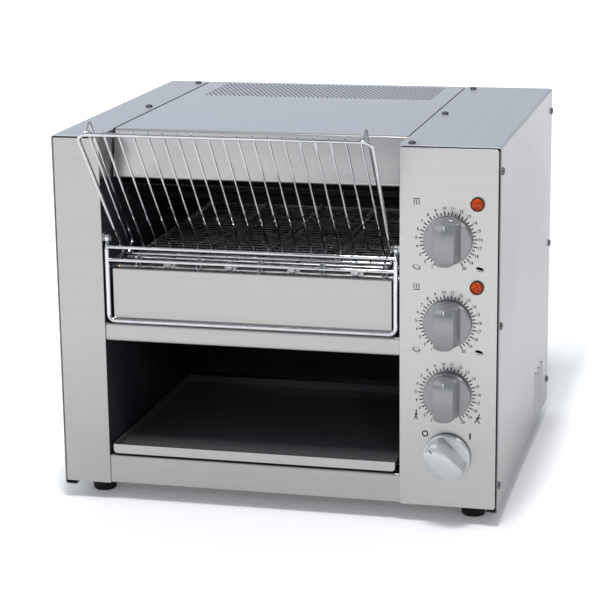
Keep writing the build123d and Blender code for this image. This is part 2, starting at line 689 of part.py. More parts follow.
with BuildPart() as element_insulators:
    for outer, inner in ((WALL_L - SHEET, WALL_L), (WALL_R + SHEET, WALL_R)):
        out = 1 if outer > inner else -1
        for depth, height in ELEMENT_SPOTS:
            along_x(outer, outer + out * INSULATOR_FLANGE_T, y_at(depth), z_at(height), INSULATOR_FLANGE_R)
            along_x(outer, inner, y_at(depth), z_at(height), INSULATOR_R)
    for depth, height in ELEMENT_SPOTS:
        bore_along_x(HEATER_L, HEATER_R, depth, height, ELEMENT_R + FIT)
hand_in(element_insulators, "element_insulators")

# Wire belt: strands round two wheels, each hooked towards the next
LINK_LEN = BELT_PITCH - BELT_T * (cos(2 * pi / BELT_TURN) + sin(2 * pi / BELT_TURN)) / 2 - LINK_GAP


def belt_spot(i):
    """Depth and height of one strand, counted back along the top run and round the wheels."""
    wrap = BELT_RUN + BELT_TURN // 2
    i %= 2 * wrap
    if i >= wrap:
        depth, height = belt_spot(i - wrap)
        return (IDLER_D + DRIVE_D - depth, 2 * BELT_AXIS_H - height)
    if i <= BELT_RUN:
        return (IDLER_D + i * BELT_PITCH, BELT_AXIS_H + BELT_R)
    turn = (i - BELT_RUN) * 2 * pi / BELT_TURN
    return (DRIVE_D + BELT_R * sin(turn), BELT_AXIS_H + BELT_R * cos(turn))


def strand_place(i):
    """Where one strand lies, its hooks pointing to the next."""
    here = belt_spot(i)
    after = belt_spot(i + 1)
    ahead = Vector(0, after[0] - here[0], after[1] - here[1])
    return Plane(spot(MOUTH_C, *here), x_dir=(1, 0, 0), z_dir=Vector(1, 0, 0).cross(ahead)).location


with BuildPart() as strand:
    with BuildSketch():
        Rectangle(2 * BELT_HALF, BELT_T)
        with GridLocations(2 * (BELT_HALF - LINK_W / 2) / (LINK_COLUMNS - 1), 0, LINK_COLUMNS, 1):
            Rectangle(LINK_W, LINK_LEN, align=(Align.CENTER, Align.MIN))
    extrude(amount=BELT_T / 2, both=True)

with BuildPart() as conveyor_belt:
    add([strand.part.moved(strand_place(i)) for i in range(2 * BELT_RUN + BELT_TURN)])
hand_in(conveyor_belt, "conveyor_belt")

# Belt runners on two cross rods
ROD_SPOTS = (IDLER_D + BELT_R + 2 * RUNNER_ROD_R, DRIVE_D - BELT_R - 2 * RUNNER_ROD_R)

with BuildPart() as runner_rods:
    for depth in ROD_SPOTS:
        along_x(WALL_L, WALL_R, y_at(depth), z_at(RUNNER_ROD_H), RUNNER_ROD_R)
hand_in(runner_rods, "runner_rods")

with BuildPart() as belt_runners:
    high = BELT_INNER_H - SLIDE_GAP
    for x in (-BELT_HALF / 2, 0, BELT_HALF / 2):
        left = MOUTH_C + x + WHEEL_T
        block(left, left + RUNNER_T, ROD_SPOTS[0] - 2 * RUNNER_ROD_R, ROD_SPOTS[1] + 2 * RUNNER_ROD_R,
              high - RUNNER_BAR_H, high)
    for depth in ROD_SPOTS:
        bore_along_x(WALL_L, WALL_R, depth, RUNNER_ROD_H, RUNNER_ROD_R + FIT)
hand_in(belt_runners, "belt_runners")

# Shafts, wheels and bushes
BUSH_OUT_L = WALL_L - SHEET - BUSH_FLANGE_T
BUSH_OUT_R = WALL_R + SHEET + BUSH_FLANGE_T
COUPLING_L = BUSH_OUT_R + COUPLING_GAP
COUPLING_MID = COUPLING_L + COUPLING_LEN / 2
BRACKET_FACE = COUPLING_L + COUPLING_LEN + COUPLING_GAP + BRACKET_T


def belt_wheels(depth, phase):
    """Notched wheels on one shaft, between the belt's rows of hooks."""
    gap = 2 * (BELT_HALF - LINK_W / 2) / (LINK_COLUMNS - 1)
    for i in range(LINK_COLUMNS - 1):
        x = MOUTH_C + (i - (LINK_COLUMNS - 2) / 2) * gap
        with BuildSketch(Plane.YZ.offset(x - WHEEL_T / 2)) as wheel:
            with Locations((y_at(depth), z_at(BELT_AXIS_H))):
                Circle(WHEEL_R)
                with PolarLocations(WHEEL_R, BELT_TURN, start_angle=phase):
                    Circle(WHEEL_NOTCH_R, mode=Mode.SUBTRACT)
        extrude(wheel.sketch, amount=WHEEL_T)
        along_x(x - WHEEL_HUB_T / 2, x + WHEEL_HUB_T / 2, y_at(depth), z_at(BELT_AXIS_H), WHEEL_HUB_R)
    bore_along_x(WALL_L, WALL_R, depth, BELT_AXIS_H, SHAFT_R + FIT)


with BuildPart() as drive_shaft:
    along_x(BUSH_OUT_L, COUPLING_MID, y_at(DRIVE_D), z_at(BELT_AXIS_H), SHAFT_R)
hand_in(drive_shaft, "drive_shaft")

with BuildPart() as drive_wheels:
    belt_wheels(DRIVE_D, 90)
hand_in(drive_wheels, "drive_wheels")

with BuildPart() as idler_shaft:
    along_x(BUSH_OUT_L, BUSH_OUT_R, y_at(IDLER_D), z_at(BELT_AXIS_H), SHAFT_R)
hand_in(idler_shaft, "idler_shaft")

with BuildPart() as idler_wheels:
    belt_wheels(IDLER_D, 90)
hand_in(idler_wheels, "idler_wheels")

with BuildPart() as shaft_bushes:
    for depth, height in SHAFT_SPOTS:
        for outer, wall, face in ((BUSH_OUT_L, WALL_L - SHEET, WALL_L), (BUSH_OUT_R, WALL_R + SHEET, WALL_R)):
            along_x(outer, wall, y_at(depth), z_at(height), BUSH_FLANGE_R)
            along_x(wall, face, y_at(depth), z_at(height), BUSH_R)
        bore_along_x(BUSH_OUT_L, BUSH_OUT_R, depth, height, SHAFT_R + FIT)
hand_in(shaft_bushes, "shaft_bushes")

# Gear motor coupled straight to the drive shaft
with BuildPart() as shaft_coupling:
    along_x(COUPLING_L, COUPLING_L + COUPLING_LEN, y_at(DRIVE_D), z_at(BELT_AXIS_H), COUPLING_R)
    bore_along_x(COUPLING_L, COUPLING_MID, DRIVE_D, BELT_AXIS_H, SHAFT_R + FIT)
    bore_along_x(COUPLING_MID, COUPLING_L + COUPLING_LEN, DRIVE_D, BELT_AXIS_H, OUTPUT_R + FIT)
hand_in(shaft_coupling, "shaft_coupling")

with BuildPart() as output_shaft:
    along_x(COUPLING_MID, COUPLING_MID + OUTPUT_LEN, y_at(DRIVE_D), z_at(BELT_AXIS_H), OUTPUT_R)
hand_in(output_shaft, "output_shaft")

with BuildPart() as motor_bracket:
    half = BRACKET_HALF
    block(WALL_R + SHEET, BRACKET_FACE, DRIVE_D - half, DRIVE_D + half, BELT_AXIS_H - half, BELT_AXIS_H + half)
    block(WALL_R, BRACKET_FACE - BRACKET_T, DRIVE_D - half + BRACKET_T, DRIVE_D + half - BRACKET_T,
          BELT_AXIS_H - 2 * half, BELT_AXIS_H + 2 * half, mode=Mode.SUBTRACT)
    with Locations(spot(BRACKET_FACE, DRIVE_D, BELT_AXIS_H)):
        Cylinder(COUPLING_R, 4 * BRACKET_T, rotation=(0, 90, 0), mode=Mode.SUBTRACT)
hand_in(motor_bracket, "motor_bracket")

with BuildPart() as gear_motor:
    block(BRACKET_FACE, BRACKET_FACE + GEARBOX_T, DRIVE_D - GEARBOX / 2, DRIVE_D + GEARBOX / 2,
          BELT_AXIS_H - GEARBOX / 2, BELT_AXIS_H + GEARBOX / 2)
    fillet(gear_motor.edges().filter_by(Axis.X), BEND_R)
    turned_to_front(BRACKET_FACE + GEARBOX_T / 2 + MOTOR_R / 2, BELT_AXIS_H, DRIVE_D - GEARBOX / 2 - MOTOR_LEN,
                    ((MOTOR_R, MOTOR_LEN),))
    bore_along_x(BRACKET_FACE, BRACKET_FACE + OUTPUT_LEN, DRIVE_D, BELT_AXIS_H, OUTPUT_R + FIT)
hand_in(gear_motor, "gear_motor")

# Controls behind the fascia, their spindles and knobs
def control_body(height, width, depth):
    """Regulator or switch body with its neck through the two panels."""
    low = height - width / 2
    block(DIAL_X - width / 2, DIAL_X + width / 2, 2 * SHEET, 2 * SHEET + depth, low, low + width)
    turned_to_front(DIAL_X, height, -NECK_REACH, ((NECK_R, NECK_REACH + 2 * SHEET),))
    with Locations(spot(DIAL_X, SPINDLE_TAIL, height)):
        Cylinder(SPINDLE_R + FIT, 2 * (SPINDLE_TAIL + NECK_REACH), rotation=(90, 0, 0),
                 align=(Align.CENTER, Align.CENTER, Align.CENTER), mode=Mode.SUBTRACT)


def spindle(height):
    """Shaft from inside the knob back into the control."""
    front = KNOB_GAP + SPINDLE_GRIP
    turned_to_front(DIAL_X, height, -front, ((SPINDLE_R, front + SPINDLE_TAIL),))


def grip_outline(plane, width, length):
    """Sketch of a bar whose ends follow the round skirt."""
    with BuildSketch(plane) as outline:
        Circle(length / 2)
        Rectangle(width, length, mode=Mode.INTERSECT)
        fillet(outline.vertices(), GRIP_ROUND)
    return outline.sketch


def knob(height, turn):
    """Skirt with a tapered bar grip, crowned along its length; turn is clockwise from upright."""
    across = (cos(radians(turn)), 0, -sin(radians(turn)))
    back = Plane(spot(DIAL_X, -KNOB_GAP, height), x_dir=across, z_dir=(0, -1, 0))
    with BuildSketch(back) as disc:
        Circle(KNOB_R)
    skirt = extrude(disc.sketch, amount=KNOB_SKIRT)
    chamfer(skirt.edges().sort_by(Axis.Y)[0], KNOB_BEVEL)
    loft([grip_outline(back.offset(KNOB_SKIRT), GRIP_BASE_W, GRIP_LEN),
          grip_outline(back.offset(KNOB_SKIRT + GRIP_H), GRIP_TIP_W, GRIP_TIP_LEN)])
    upright = (sin(radians(turn)), 0, cos(radians(turn)))
    with BuildSketch(Plane(back.origin, x_dir=upright, z_dir=across)) as over_crown:
        with BuildLine():
            top = KNOB_SKIRT + GRIP_H
            end = GRIP_LEN / 2
            ThreePointArc((-end, top - GRIP_CROWN), (0, top), (end, top - GRIP_CROWN))
            Polyline((end, top - GRIP_CROWN), (end, top + GRIP_ROUND), (-end, top + GRIP_ROUND),
                     (-end, top - GRIP_CROWN))
        make_face()
    extrude(over_crown.sketch, amount=GRIP_BASE_W, both=True, mode=Mode.SUBTRACT)
    with BuildSketch(back) as socket:
        Circle(SPINDLE_R + FIT)
    extrude(socket.sketch, amount=SPINDLE_GRIP + FIT, mode=Mode.SUBTRACT)


with BuildPart() as upper_heat_regulator:
    control_body(DIAL_TOP_H, REGULATOR_W, REGULATOR_D)
hand_in(upper_heat_regulator, "upper_heat_regulator")

with BuildPart() as lower_heat_regulator:
    control_body(DIAL_LOW_H, REGULATOR_W, REGULATOR_D)
hand_in(lower_heat_regulator, "lower_heat_regulator")

with BuildPart() as speed_control:
    control_body(DIAL_SPEED_H, REGULATOR_W, REGULATOR_D)
hand_in(speed_control, "speed_control")

with BuildPart() as main_switch:
    control_body(SWITCH_H, SWITCH_W, SWITCH_D)
hand_in(main_switch, "main_switch")

with BuildPart() as upper_heat_spindle:
    spindle(DIAL_TOP_H)
hand_in(upper_heat_spindle, "upper_heat_spindle")

with BuildPart() as lower_heat_spindle:
    spindle(DIAL_LOW_H)
hand_in(lower_heat_spindle, "lower_heat_spindle")

with BuildPart() as speed_spindle:
    spindle(DIAL_SPEED_H)
hand_in(speed_spindle, "speed_spindle")

with BuildPart() as switch_spindle:
    spindle(SWITCH_H)
hand_in(switch_spindle, "switch_spindle")

with BuildPart() as upper_heat_knob:
    knob(DIAL_TOP_H, 0)
hand_in(upper_heat_knob, "upper_heat_knob")

with BuildPart() as lower_heat_knob:
    knob(DIAL_LOW_H, 0)
hand_in(lower_heat_knob, "lower_heat_knob")

with BuildPart() as speed_knob:
    knob(DIAL_SPEED_H, 0)
hand_in(speed_knob, "speed_knob")

with BuildPart() as switch_knob:
    knob(SWITCH_H, -SWITCH_REST)
hand_in(switch_knob, "switch_knob")

# Heat lamps
with BuildPart() as lamp_bodies:
    for height in LAMP_HEIGHTS:
        turned_to_front(LAMP_X, height, -LAMP_RING_T, ((LAMP_RING_R, LAMP_RING_T), (LAMP_BODY_R, LAMP_BODY_D)))
        with Locations(spot(LAMP_X, 0, height)):
            Cylinder(LAMP_RING_BORE + FIT, 2 * LENS_SINK, rotation=(90, 0, 0), mode=Mode.SUBTRACT)
hand_in(lamp_bodies, "lamp_bodies")

with BuildPart() as lamp_lenses:
    for height in LAMP_HEIGHTS:
        turned_to_front(LAMP_X, height, -LAMP_RING_T, ((LAMP_RING_BORE, LAMP_RING_T + LENS_SINK),))
    dome_r = (LAMP_RING_BORE**2 + LENS_RISE**2) / (2 * LENS_RISE)
    dome_half = 90 - degrees(asin(LAMP_RING_BORE / dome_r))
    for height in LAMP_HEIGHTS:
        with Locations(Location(spot(LAMP_X, -LAMP_RING_T, height), (90, 0, 0))):
            Sphere(dome_r, arc_size1=dome_half, arc_size2=90, align=(Align.CENTER, Align.CENTER, Align.MIN))
hand_in(lamp_lenses, "lamp_lenses")

# Mains terminals on the base pan
with BuildPart() as terminal_block:
    left = TERMINAL_X - TERMINAL_W / 2
    block(left, left + TERMINAL_W, TERMINAL_D, TERMINAL_D + TERMINAL_L, SHEET, SHEET + TERMINAL_T)
    way = TERMINAL_L / TERMINAL_WAYS
    for i in range(TERMINAL_WAYS - 1):
        cut = TERMINAL_D + (i + 1) * way
        block(left, left + TERMINAL_W, cut - SHEET / 2, cut + SHEET / 2, TERMINAL_T / 2, 2 * TERMINAL_T,
              mode=Mode.SUBTRACT)
hand_in(terminal_block, "terminal_block")

# Pan-head screws of the covers
def screw(place, outward):
    """Domed head on the sheet with a short shank behind it."""
    seat = Plane(place, z_dir=outward)
    with BuildSketch(seat) as disc:
        Circle(HEAD_R)
    with BuildSketch(seat.offset(HEAD_H)) as crown:
        Circle(HEAD_R - HEAD_H / 3)
    loft([disc.sketch, crown.sketch])
    with BuildSketch(seat) as stem:
        Circle(SHANK_R)
    extrude(stem.sketch, amount=-(SHEET + SHANK_TIP))


with BuildPart() as cover_screws:
    for side, seam_x in ((-1, MOUTH_L), (1, MOUTH_R)):
        for depth, height in SIDE_SCREWS:
            screw(spot(side * HALF_W, depth, height), (side, 0, 0))
        for depth in TOP_SCREW_DEPTHS:
            screw(spot(seam_x + side * TOP_SCREW_OUTSET, depth, CASE_H), (0, 0, 1))
hand_in(cover_screws, "cover_screws")

# Loading rack: a loop that hangs on two pivot screws, and a leaning wire rack welded to it
with BuildPart() as support_loop:
    tips = [spot(MOUTH_C + side * LOOP_HALF, PIVOT_D, PIVOT_H) for side in (-1, 1)]
    hips = [spot(MOUTH_C + side * LOOP_HALF, LOOP_D, BAR_UPPER_H - LOOP_WIRE_R) for side in (-1, 1)]
    feet_line = [spot(MOUTH_C + side * LOOP_HALF, LOOP_D, LOOP_BOTTOM_H) for side in (-1, 1)]
    bends = [HIP_BEND, LOOP_BEND, LOOP_BEND, HIP_BEND]
    bent_wire([tips[0], hips[0], feet_line[0], feet_line[1], hips[1], tips[1]], LOOP_WIRE_R, bends)
    for side in (-1, 1):
        x = MOUTH_C + side * LOOP_HALF
        along_x(x - LOOP_WIRE_R, x + LOOP_WIRE_R, y_at(PIVOT_D), z_at(PIVOT_H), EYE_R)
    bore_along_x(WALL_L, WALL_R, PIVOT_D, PIVOT_H, PIVOT_R + FIT)
hand_in(support_loop, "support_loop")

with BuildPart() as loop_cross_bars:
    for height in (BAR_UPPER_H, BAR_LOWER_H):
        along_x(MOUTH_C - LOOP_HALF, MOUTH_C + LOOP_HALF, y_at(LOOP_D), z_at(height), FRAME_WIRE_R)
hand_in(loop_cross_bars, "loop_cross_bars")

with BuildPart() as rack_frame:
    ends = [spot(MOUTH_C + side * RACK_HALF_FOOT, LOOP_D, BAR_LOWER_H) for side in (-1, 1)]
    heels = [rack_point(side * RACK_HALF_FOOT, 0) for side in (-1, 1)]
    crowns = [rack_point(side * RACK_HALF_TOP, RACK_LEN) for side in (-1, 1)]
    bent_wire([ends[0], heels[0], crowns[0], crowns[1], heels[1], ends[1]], FRAME_WIRE_R,
              [HEEL_BEND, RACK_BEND, RACK_BEND, HEEL_BEND])
hand_in(rack_frame, "rack_frame")

WIRE_BEHIND = FRAME_WIRE_R + WIRE_R
with BuildPart() as rack_wires:
    for i in range(WIRE_COUNT):
        x = WIRE_HALF * (2 * i / (WIRE_COUNT - 1) - 1)
        bent_start = rack_point(x, -FRAME_WIRE_R, WIRE_BEHIND)
        with BuildSketch(Plane(bent_start, z_dir=(0, *RACK_U))):
            Circle(WIRE_R)
        extrude(amount=RACK_LEN + FRAME_WIRE_R + WIRE_POKE)
hand_in(rack_wires, "rack_wires")

with BuildPart() as rack_bars:
    start = rack_point(-RACK_HALF_FOOT, 0)
    along_x(start[0], start[0] + 2 * RACK_HALF_FOOT, start[1], start[2], FRAME_WIRE_R)
hand_in(rack_bars, "rack_bars")

with BuildPart() as side_guards:
    for side in (-1, 1):
        x = side * GUARD_HALF
        reach = WIRE_BEHIND + GUARD_STANDOFF
        bent_wire([rack_point(x, 0, FRAME_WIRE_R), rack_point(x, 0, reach), rack_point(x, RACK_LEN, reach),
                   rack_point(x, RACK_LEN, FRAME_WIRE_R)], WIRE_R, GUARD_STANDOFF / 4)
hand_in(side_guards, "side_guards")

EYE_L = MOUTH_C - LOOP_HALF - LOOP_WIRE_R - SLIDE_GAP
EYE_R_X = MOUTH_C + LOOP_HALF + LOOP_WIRE_R + SLIDE_GAP

with BuildPart() as pivot_washers:
    along_x(WALL_L, EYE_L, y_at(PIVOT_D), z_at(PIVOT_H), EYE_R)
    along_x(EYE_R_X, WALL_R, y_at(PIVOT_D), z_at(PIVOT_H), EYE_R)
    bore_along_x(WALL_L, WALL_R, PIVOT_D, PIVOT_H, PIVOT_R + FIT)
hand_in(pivot_washers, "pivot_washers")

with BuildPart() as pivot_screws:
    for side, wall in ((-1, WALL_L), (1, WALL_R)):
        inner = MOUTH_C + side * (LOOP_HALF - LOOP_WIRE_R - SLIDE_GAP)
        along_x(inner, wall + side * PIVOT_TAIL, y_at(PIVOT_D), z_at(PIVOT_H), PIVOT_R)
        along_x(inner - side * PIVOT_HEAD_T, inner, y_at(PIVOT_D), z_at(PIVOT_H), PIVOT_HEAD_R)
hand_in(pivot_screws, "pivot_screws")
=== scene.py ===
"""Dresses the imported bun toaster: wire rack and belt, vent field, knobs, printed dials, finishes and studio.

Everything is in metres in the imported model's frame: X to the right, Y to the back, Z up.
"""
import json
from math import ceil, copysign, cos, degrees, pi, radians, sin, tan

import bmesh
import bpy
from bmesh.types import BMEdge, BMVert
from mathutils import Matrix, Vector


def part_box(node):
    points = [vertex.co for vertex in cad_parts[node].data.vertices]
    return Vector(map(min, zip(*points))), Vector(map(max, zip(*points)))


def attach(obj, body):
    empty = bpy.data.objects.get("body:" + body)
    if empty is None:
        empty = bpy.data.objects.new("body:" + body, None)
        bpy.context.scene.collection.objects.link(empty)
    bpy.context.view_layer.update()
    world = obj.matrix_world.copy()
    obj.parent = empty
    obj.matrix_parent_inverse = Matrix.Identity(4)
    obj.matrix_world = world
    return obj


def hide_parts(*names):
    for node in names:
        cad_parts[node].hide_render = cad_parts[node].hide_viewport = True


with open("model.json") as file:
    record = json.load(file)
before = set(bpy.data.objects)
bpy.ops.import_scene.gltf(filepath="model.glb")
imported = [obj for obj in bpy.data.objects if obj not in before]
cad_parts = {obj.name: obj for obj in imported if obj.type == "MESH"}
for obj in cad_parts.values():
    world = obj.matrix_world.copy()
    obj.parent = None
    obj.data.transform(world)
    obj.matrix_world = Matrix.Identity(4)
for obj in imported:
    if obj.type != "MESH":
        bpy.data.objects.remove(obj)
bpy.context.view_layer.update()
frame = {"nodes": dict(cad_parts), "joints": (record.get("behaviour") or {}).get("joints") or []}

MM = 0.001
SHARP = radians(32)
SHEET = 1.2 * MM
NEAR = 1e-5
WELD = 1e-6
SIDES = (-1, 1)
ACROSS = Vector((1, 0, 0))
UP = Vector((0, 0, 1))
TO_FRONT = (0, -1, 0)

# Places read from the frame
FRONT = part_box("fascia")[0].y
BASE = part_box("back_panel")[0].z
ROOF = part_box("top_cover")[1].z
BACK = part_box("back_panel")[1].y
MOUTH_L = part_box("left_front_panel")[1].x
MOUTH_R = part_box("fascia")[0].x
MOUTH_MID = (MOUTH_L + MOUTH_R) / 2
CASE_HALF = -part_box("left_cover")[0].x
JOINTS = {joint["name"]: joint for joint in frame["joints"]}


def spot(x, depth, height):
    """Point at a width, a depth behind the casing's front face and a height above its bottom edge."""
    return Vector((x, FRONT + depth, BASE + height))


def joint_place(name):
    """Point on a joint's axis."""
    return Vector(JOINTS[name]["pos_m"])


# Shader nodes

class Value:
    """A node's output that takes part in sums."""

    def __init__(self, nodes, socket):
        self.nodes = nodes
        self.socket = socket

    def maths(self, operation, first, second):
        return self.nodes.node("Math", {"operation": operation}, first, second)

    def __add__(self, other):
        return self.maths("ADD", self, other)

    def __sub__(self, other):
        return self.maths("SUBTRACT", self, other)

    def __rsub__(self, other):
        return self.maths("SUBTRACT", other, self)

    def __mul__(self, other):
        return self.maths("MULTIPLY", self, other)

    __radd__ = __add__
    __rmul__ = __mul__

    def larger(self, other):
        """The larger of two values."""
        return self.maths("MAXIMUM", self, other)


class Nodes:
    """A node tree that nodes are added to."""

    def __init__(self, tree):
        self.tree = tree

    def node(self, kind, settings, *values, out=0, **named):
        """Adds any node: settings first, then socket values or links by order or by name; None skips one."""
        made = self.tree.nodes.new("ShaderNode" + kind)
        for key, value in settings.items():
            setattr(made, key, value)
        for key, value in [*enumerate(values), *named.items()]:
            if value is not None:
                self.join(value, made.inputs[key.replace("_", " ") if isinstance(key, str) else key])
        return Value(self, made.outputs[out])

    def join(self, value, socket):
        """Links a value to a socket, or writes a plain number or colour on it."""
        if isinstance(value, Value):
            self.tree.links.new(value.socket, socket)
        else:
            socket.default_value = value

    def band(self, value, low, high, bottom=0.0, top=1.0):
        """Remaps a value from one range to another, held at the ends."""
        return self.node("MapRange", {"clamp": True}, value, low, high, bottom, top)

    def along(self, vector, axis):
        """One coordinate of a vector."""
        return self.node("SeparateXYZ", {}, vector, out=axis)

    def mix_colour(self, factor, first, second):
        """Mixes two colours; the five sockets between are for other kinds of value."""
        return self.node("Mix", {"data_type": "RGBA"}, factor, *[None] * 5, first, second, out=2)


class Finish(Nodes):
    """One node material with a Principled shader, on Object coordinates."""

    def __init__(self, name, **constants):
        self.material = bpy.data.materials.new(name)
        self.material.use_nodes = True
        super().__init__(self.material.node_tree)
        self.shader = self.tree.nodes["Principled BSDF"]
        self.feed(**constants)
        self.place = self.node("TexCoord", {}, out="Object")

    def feed(self, **sockets):
        """Feeds values into the shader's sockets."""
        for key, value in sockets.items():
            self.join(value, self.shader.inputs[key.replace("_", " ")])

    def stretched(self, *scale):
        """Object coordinates stretched by one scale, or by one along each axis."""
        scales = scale if len(scale) == 3 else scale * 3
        return self.node("Mapping", {"vector_type": "POINT"}, self.place, Scale=scales)

    def noise(self, *scale, detail=2.0, rough=0.5):
        """Noise between 0 and 1; scale is in cycles for each metre, one for all axes or one along each."""
        return self.node("TexNoise", {}, self.stretched(*scale), Scale=1.0, Detail=detail, Roughness=rough)

    def grain(self, axis, along, across, **settings):
        """Noise drawn out along one axis."""
        return self.noise(*(along if other == axis else across for other in "XYZ"), **settings)

    def varied(self, shade, tone, darker, lighter):
        """A tone that runs from darker to lighter with a shade."""
        return self.mix_colour(shade, tint(tone, -darker), tint(tone, lighter))

    def bump(self, height, strength, distance):
        """Relief on the normal."""
        self.feed(Normal=self.node("Bump", {}, Strength=strength, Distance=distance, Height=height))


def rgb(red, green, blue):
    return (red, green, blue, 1.0)


def tint(tone, share):
    """A tone made lighter or darker by a share of itself."""
    return rgb(*(channel * (1 + share) for channel in tone[:3]))


def brushed_steel(name, axis, tone, rough=0.27, metallic=1.0, gloss=0.5, beyond=None):
    """Satin sheet: very fine scratches along one axis and a cloudy sheen.

    Beyond a place on some axis it may take another tone and be more or less metallic.
    """
    steel = Finish(name, Metallic=metallic, Specular_IOR_Level=gloss)
    scratches = steel.grain(axis, along=14, across=3200, detail=3.0, rough=0.7)
    streaks = steel.grain(axis, along=3, across=160)
    clouds = steel.noise(7, detail=3.0)
    shade = steel.band(0.30 * scratches + 0.25 * streaks + 0.45 * clouds, 0.32, 0.68)
    colour = steel.varied(shade, tone, darker=0.06, lighter=0.05)
    if beyond:
        far_axis, start, far_tone, far_metallic = beyond
        far = steel.band(steel.along(steel.place, far_axis), start, start + MM)
        colour = steel.mix_colour(far, colour, steel.varied(shade, far_tone, darker=0.06, lighter=0.05))
        steel.feed(Metallic=metallic + (far_metallic - metallic) * far)
    steel.feed(Base_Color=colour, Roughness=rough - 0.04 + 0.08 * clouds + 0.05 * scratches)
    steel.bump(scratches, strength=0.02, distance=0.2 * MM)
    return steel.material


def plain_metal(name, tone, rough, spread=0.12):
    """Drawn or plated metal with a mottled sheen."""
    metal = Finish(name, Metallic=1.0)
    mottle = metal.noise(70, detail=4.0, rough=0.6)
    fine = metal.noise(900)
    metal.feed(Base_Color=metal.varied(metal.band(mottle, 0.3, 0.7), tone, spread, spread),
               Roughness=rough * (0.75 + 0.5 * mottle))
    metal.bump(fine, strength=0.06, distance=0.2 * MM)
    return metal.material


SCORCHED_METALLIC = 0.45
UNSHADED_TONE = rgb(0.75, 0.75, 0.75)
SOOT = rgb(0.012, 0.011, 0.010)


def scorched_shaded_steel(name, tone, unshaded_above=None):
    """Chamber sheet on a very dark tone with heat stains and soot spots; the dark tone is partly heat stain and
    partly painted shade of the closed chamber. Above a height, if one is given, it takes a bright tone in place of
    the painted shade.
    """
    sheet = Finish(name, Metallic=SCORCHED_METALLIC, Specular_IOR_Level=0.3)
    stain = sheet.noise(14, detail=5.0, rough=0.6)
    spots = sheet.noise(160, detail=3.0)
    colour = sheet.mix_colour(sheet.band(stain, 0.4, 0.7), tone, tint(tone, -0.25))
    colour = sheet.mix_colour(sheet.band(spots, 0.62, 0.75), colour, SOOT)
    # Above the height the sheet takes a bright tone in place of the painted shade
    if unshaded_above:
        ragged = sheet.along(sheet.place, "Z") + 4 * MM * (stain - 0.5)
        bright = sheet.band(ragged, unshaded_above - 2 * MM, unshaded_above + 2 * MM)
        colour = sheet.mix_colour(bright, colour, UNSHADED_TONE)
        sheet.feed(Metallic=SCORCHED_METALLIC - 0.30 * bright)
    sheet.feed(Base_Color=colour, Roughness=0.38 + 0.28 * stain)
    sheet.bump(spots, strength=0.08, distance=0.3 * MM)
    return sheet.material


def moulded(name, tone, rough, coat=0.0, metallic=0.0, gloss=0.5):
    """Moulded plastic or rubber with fine moulding grain and slight clouding."""
    plastic = Finish(name, Coat_Weight=coat, Coat_Roughness=0.12, Metallic=metallic, Specular_IOR_Level=gloss)
    clouds = plastic.noise(45, detail=3.0)
    skin = plastic.noise(1800)
    plastic.feed(Base_Color=plastic.varied(clouds, tone, darker=0.06, lighter=0.06),
                 Roughness=rough + 0.10 * (skin - 0.5))
    plastic.bump(skin, strength=0.05, distance=0.2 * MM)
    return plastic.material


def lamp_glass(name, lit, shaded):
    """Lens whose moulded ribs show through it as cells of lit and shaded colour, which is painted light; a weak
    emission gives it a painted glow.
    """
    lens = Finish(name, Specular_IOR_Level=0.1, Coat_Weight=0.30, Coat_Roughness=0.05, Emission_Strength=0.38)
    ribs = lens.node("TexVoronoi", {"feature": "F1"}, lens.stretched(900), Scale=1.0)
    colour = lens.mix_colour(lens.band(ribs, 0.1, 0.6), lit, shaded)
    # Emission of the lens colour: painted glow
    lens.feed(Base_Color=colour, Emission_Color=colour, Roughness=0.12 + 0.1 * ribs)
    return lens.material


def printed_ink(name, tone):
    """Screen-printed ink with slightly broken cover."""
    ink = Finish(name)
    cover = ink.noise(1500)
    ink.feed(Base_Color=ink.mix_colour(cover, tone, tint(tone, 0.6)), Roughness=0.45 + 0.2 * cover)
    return ink.material
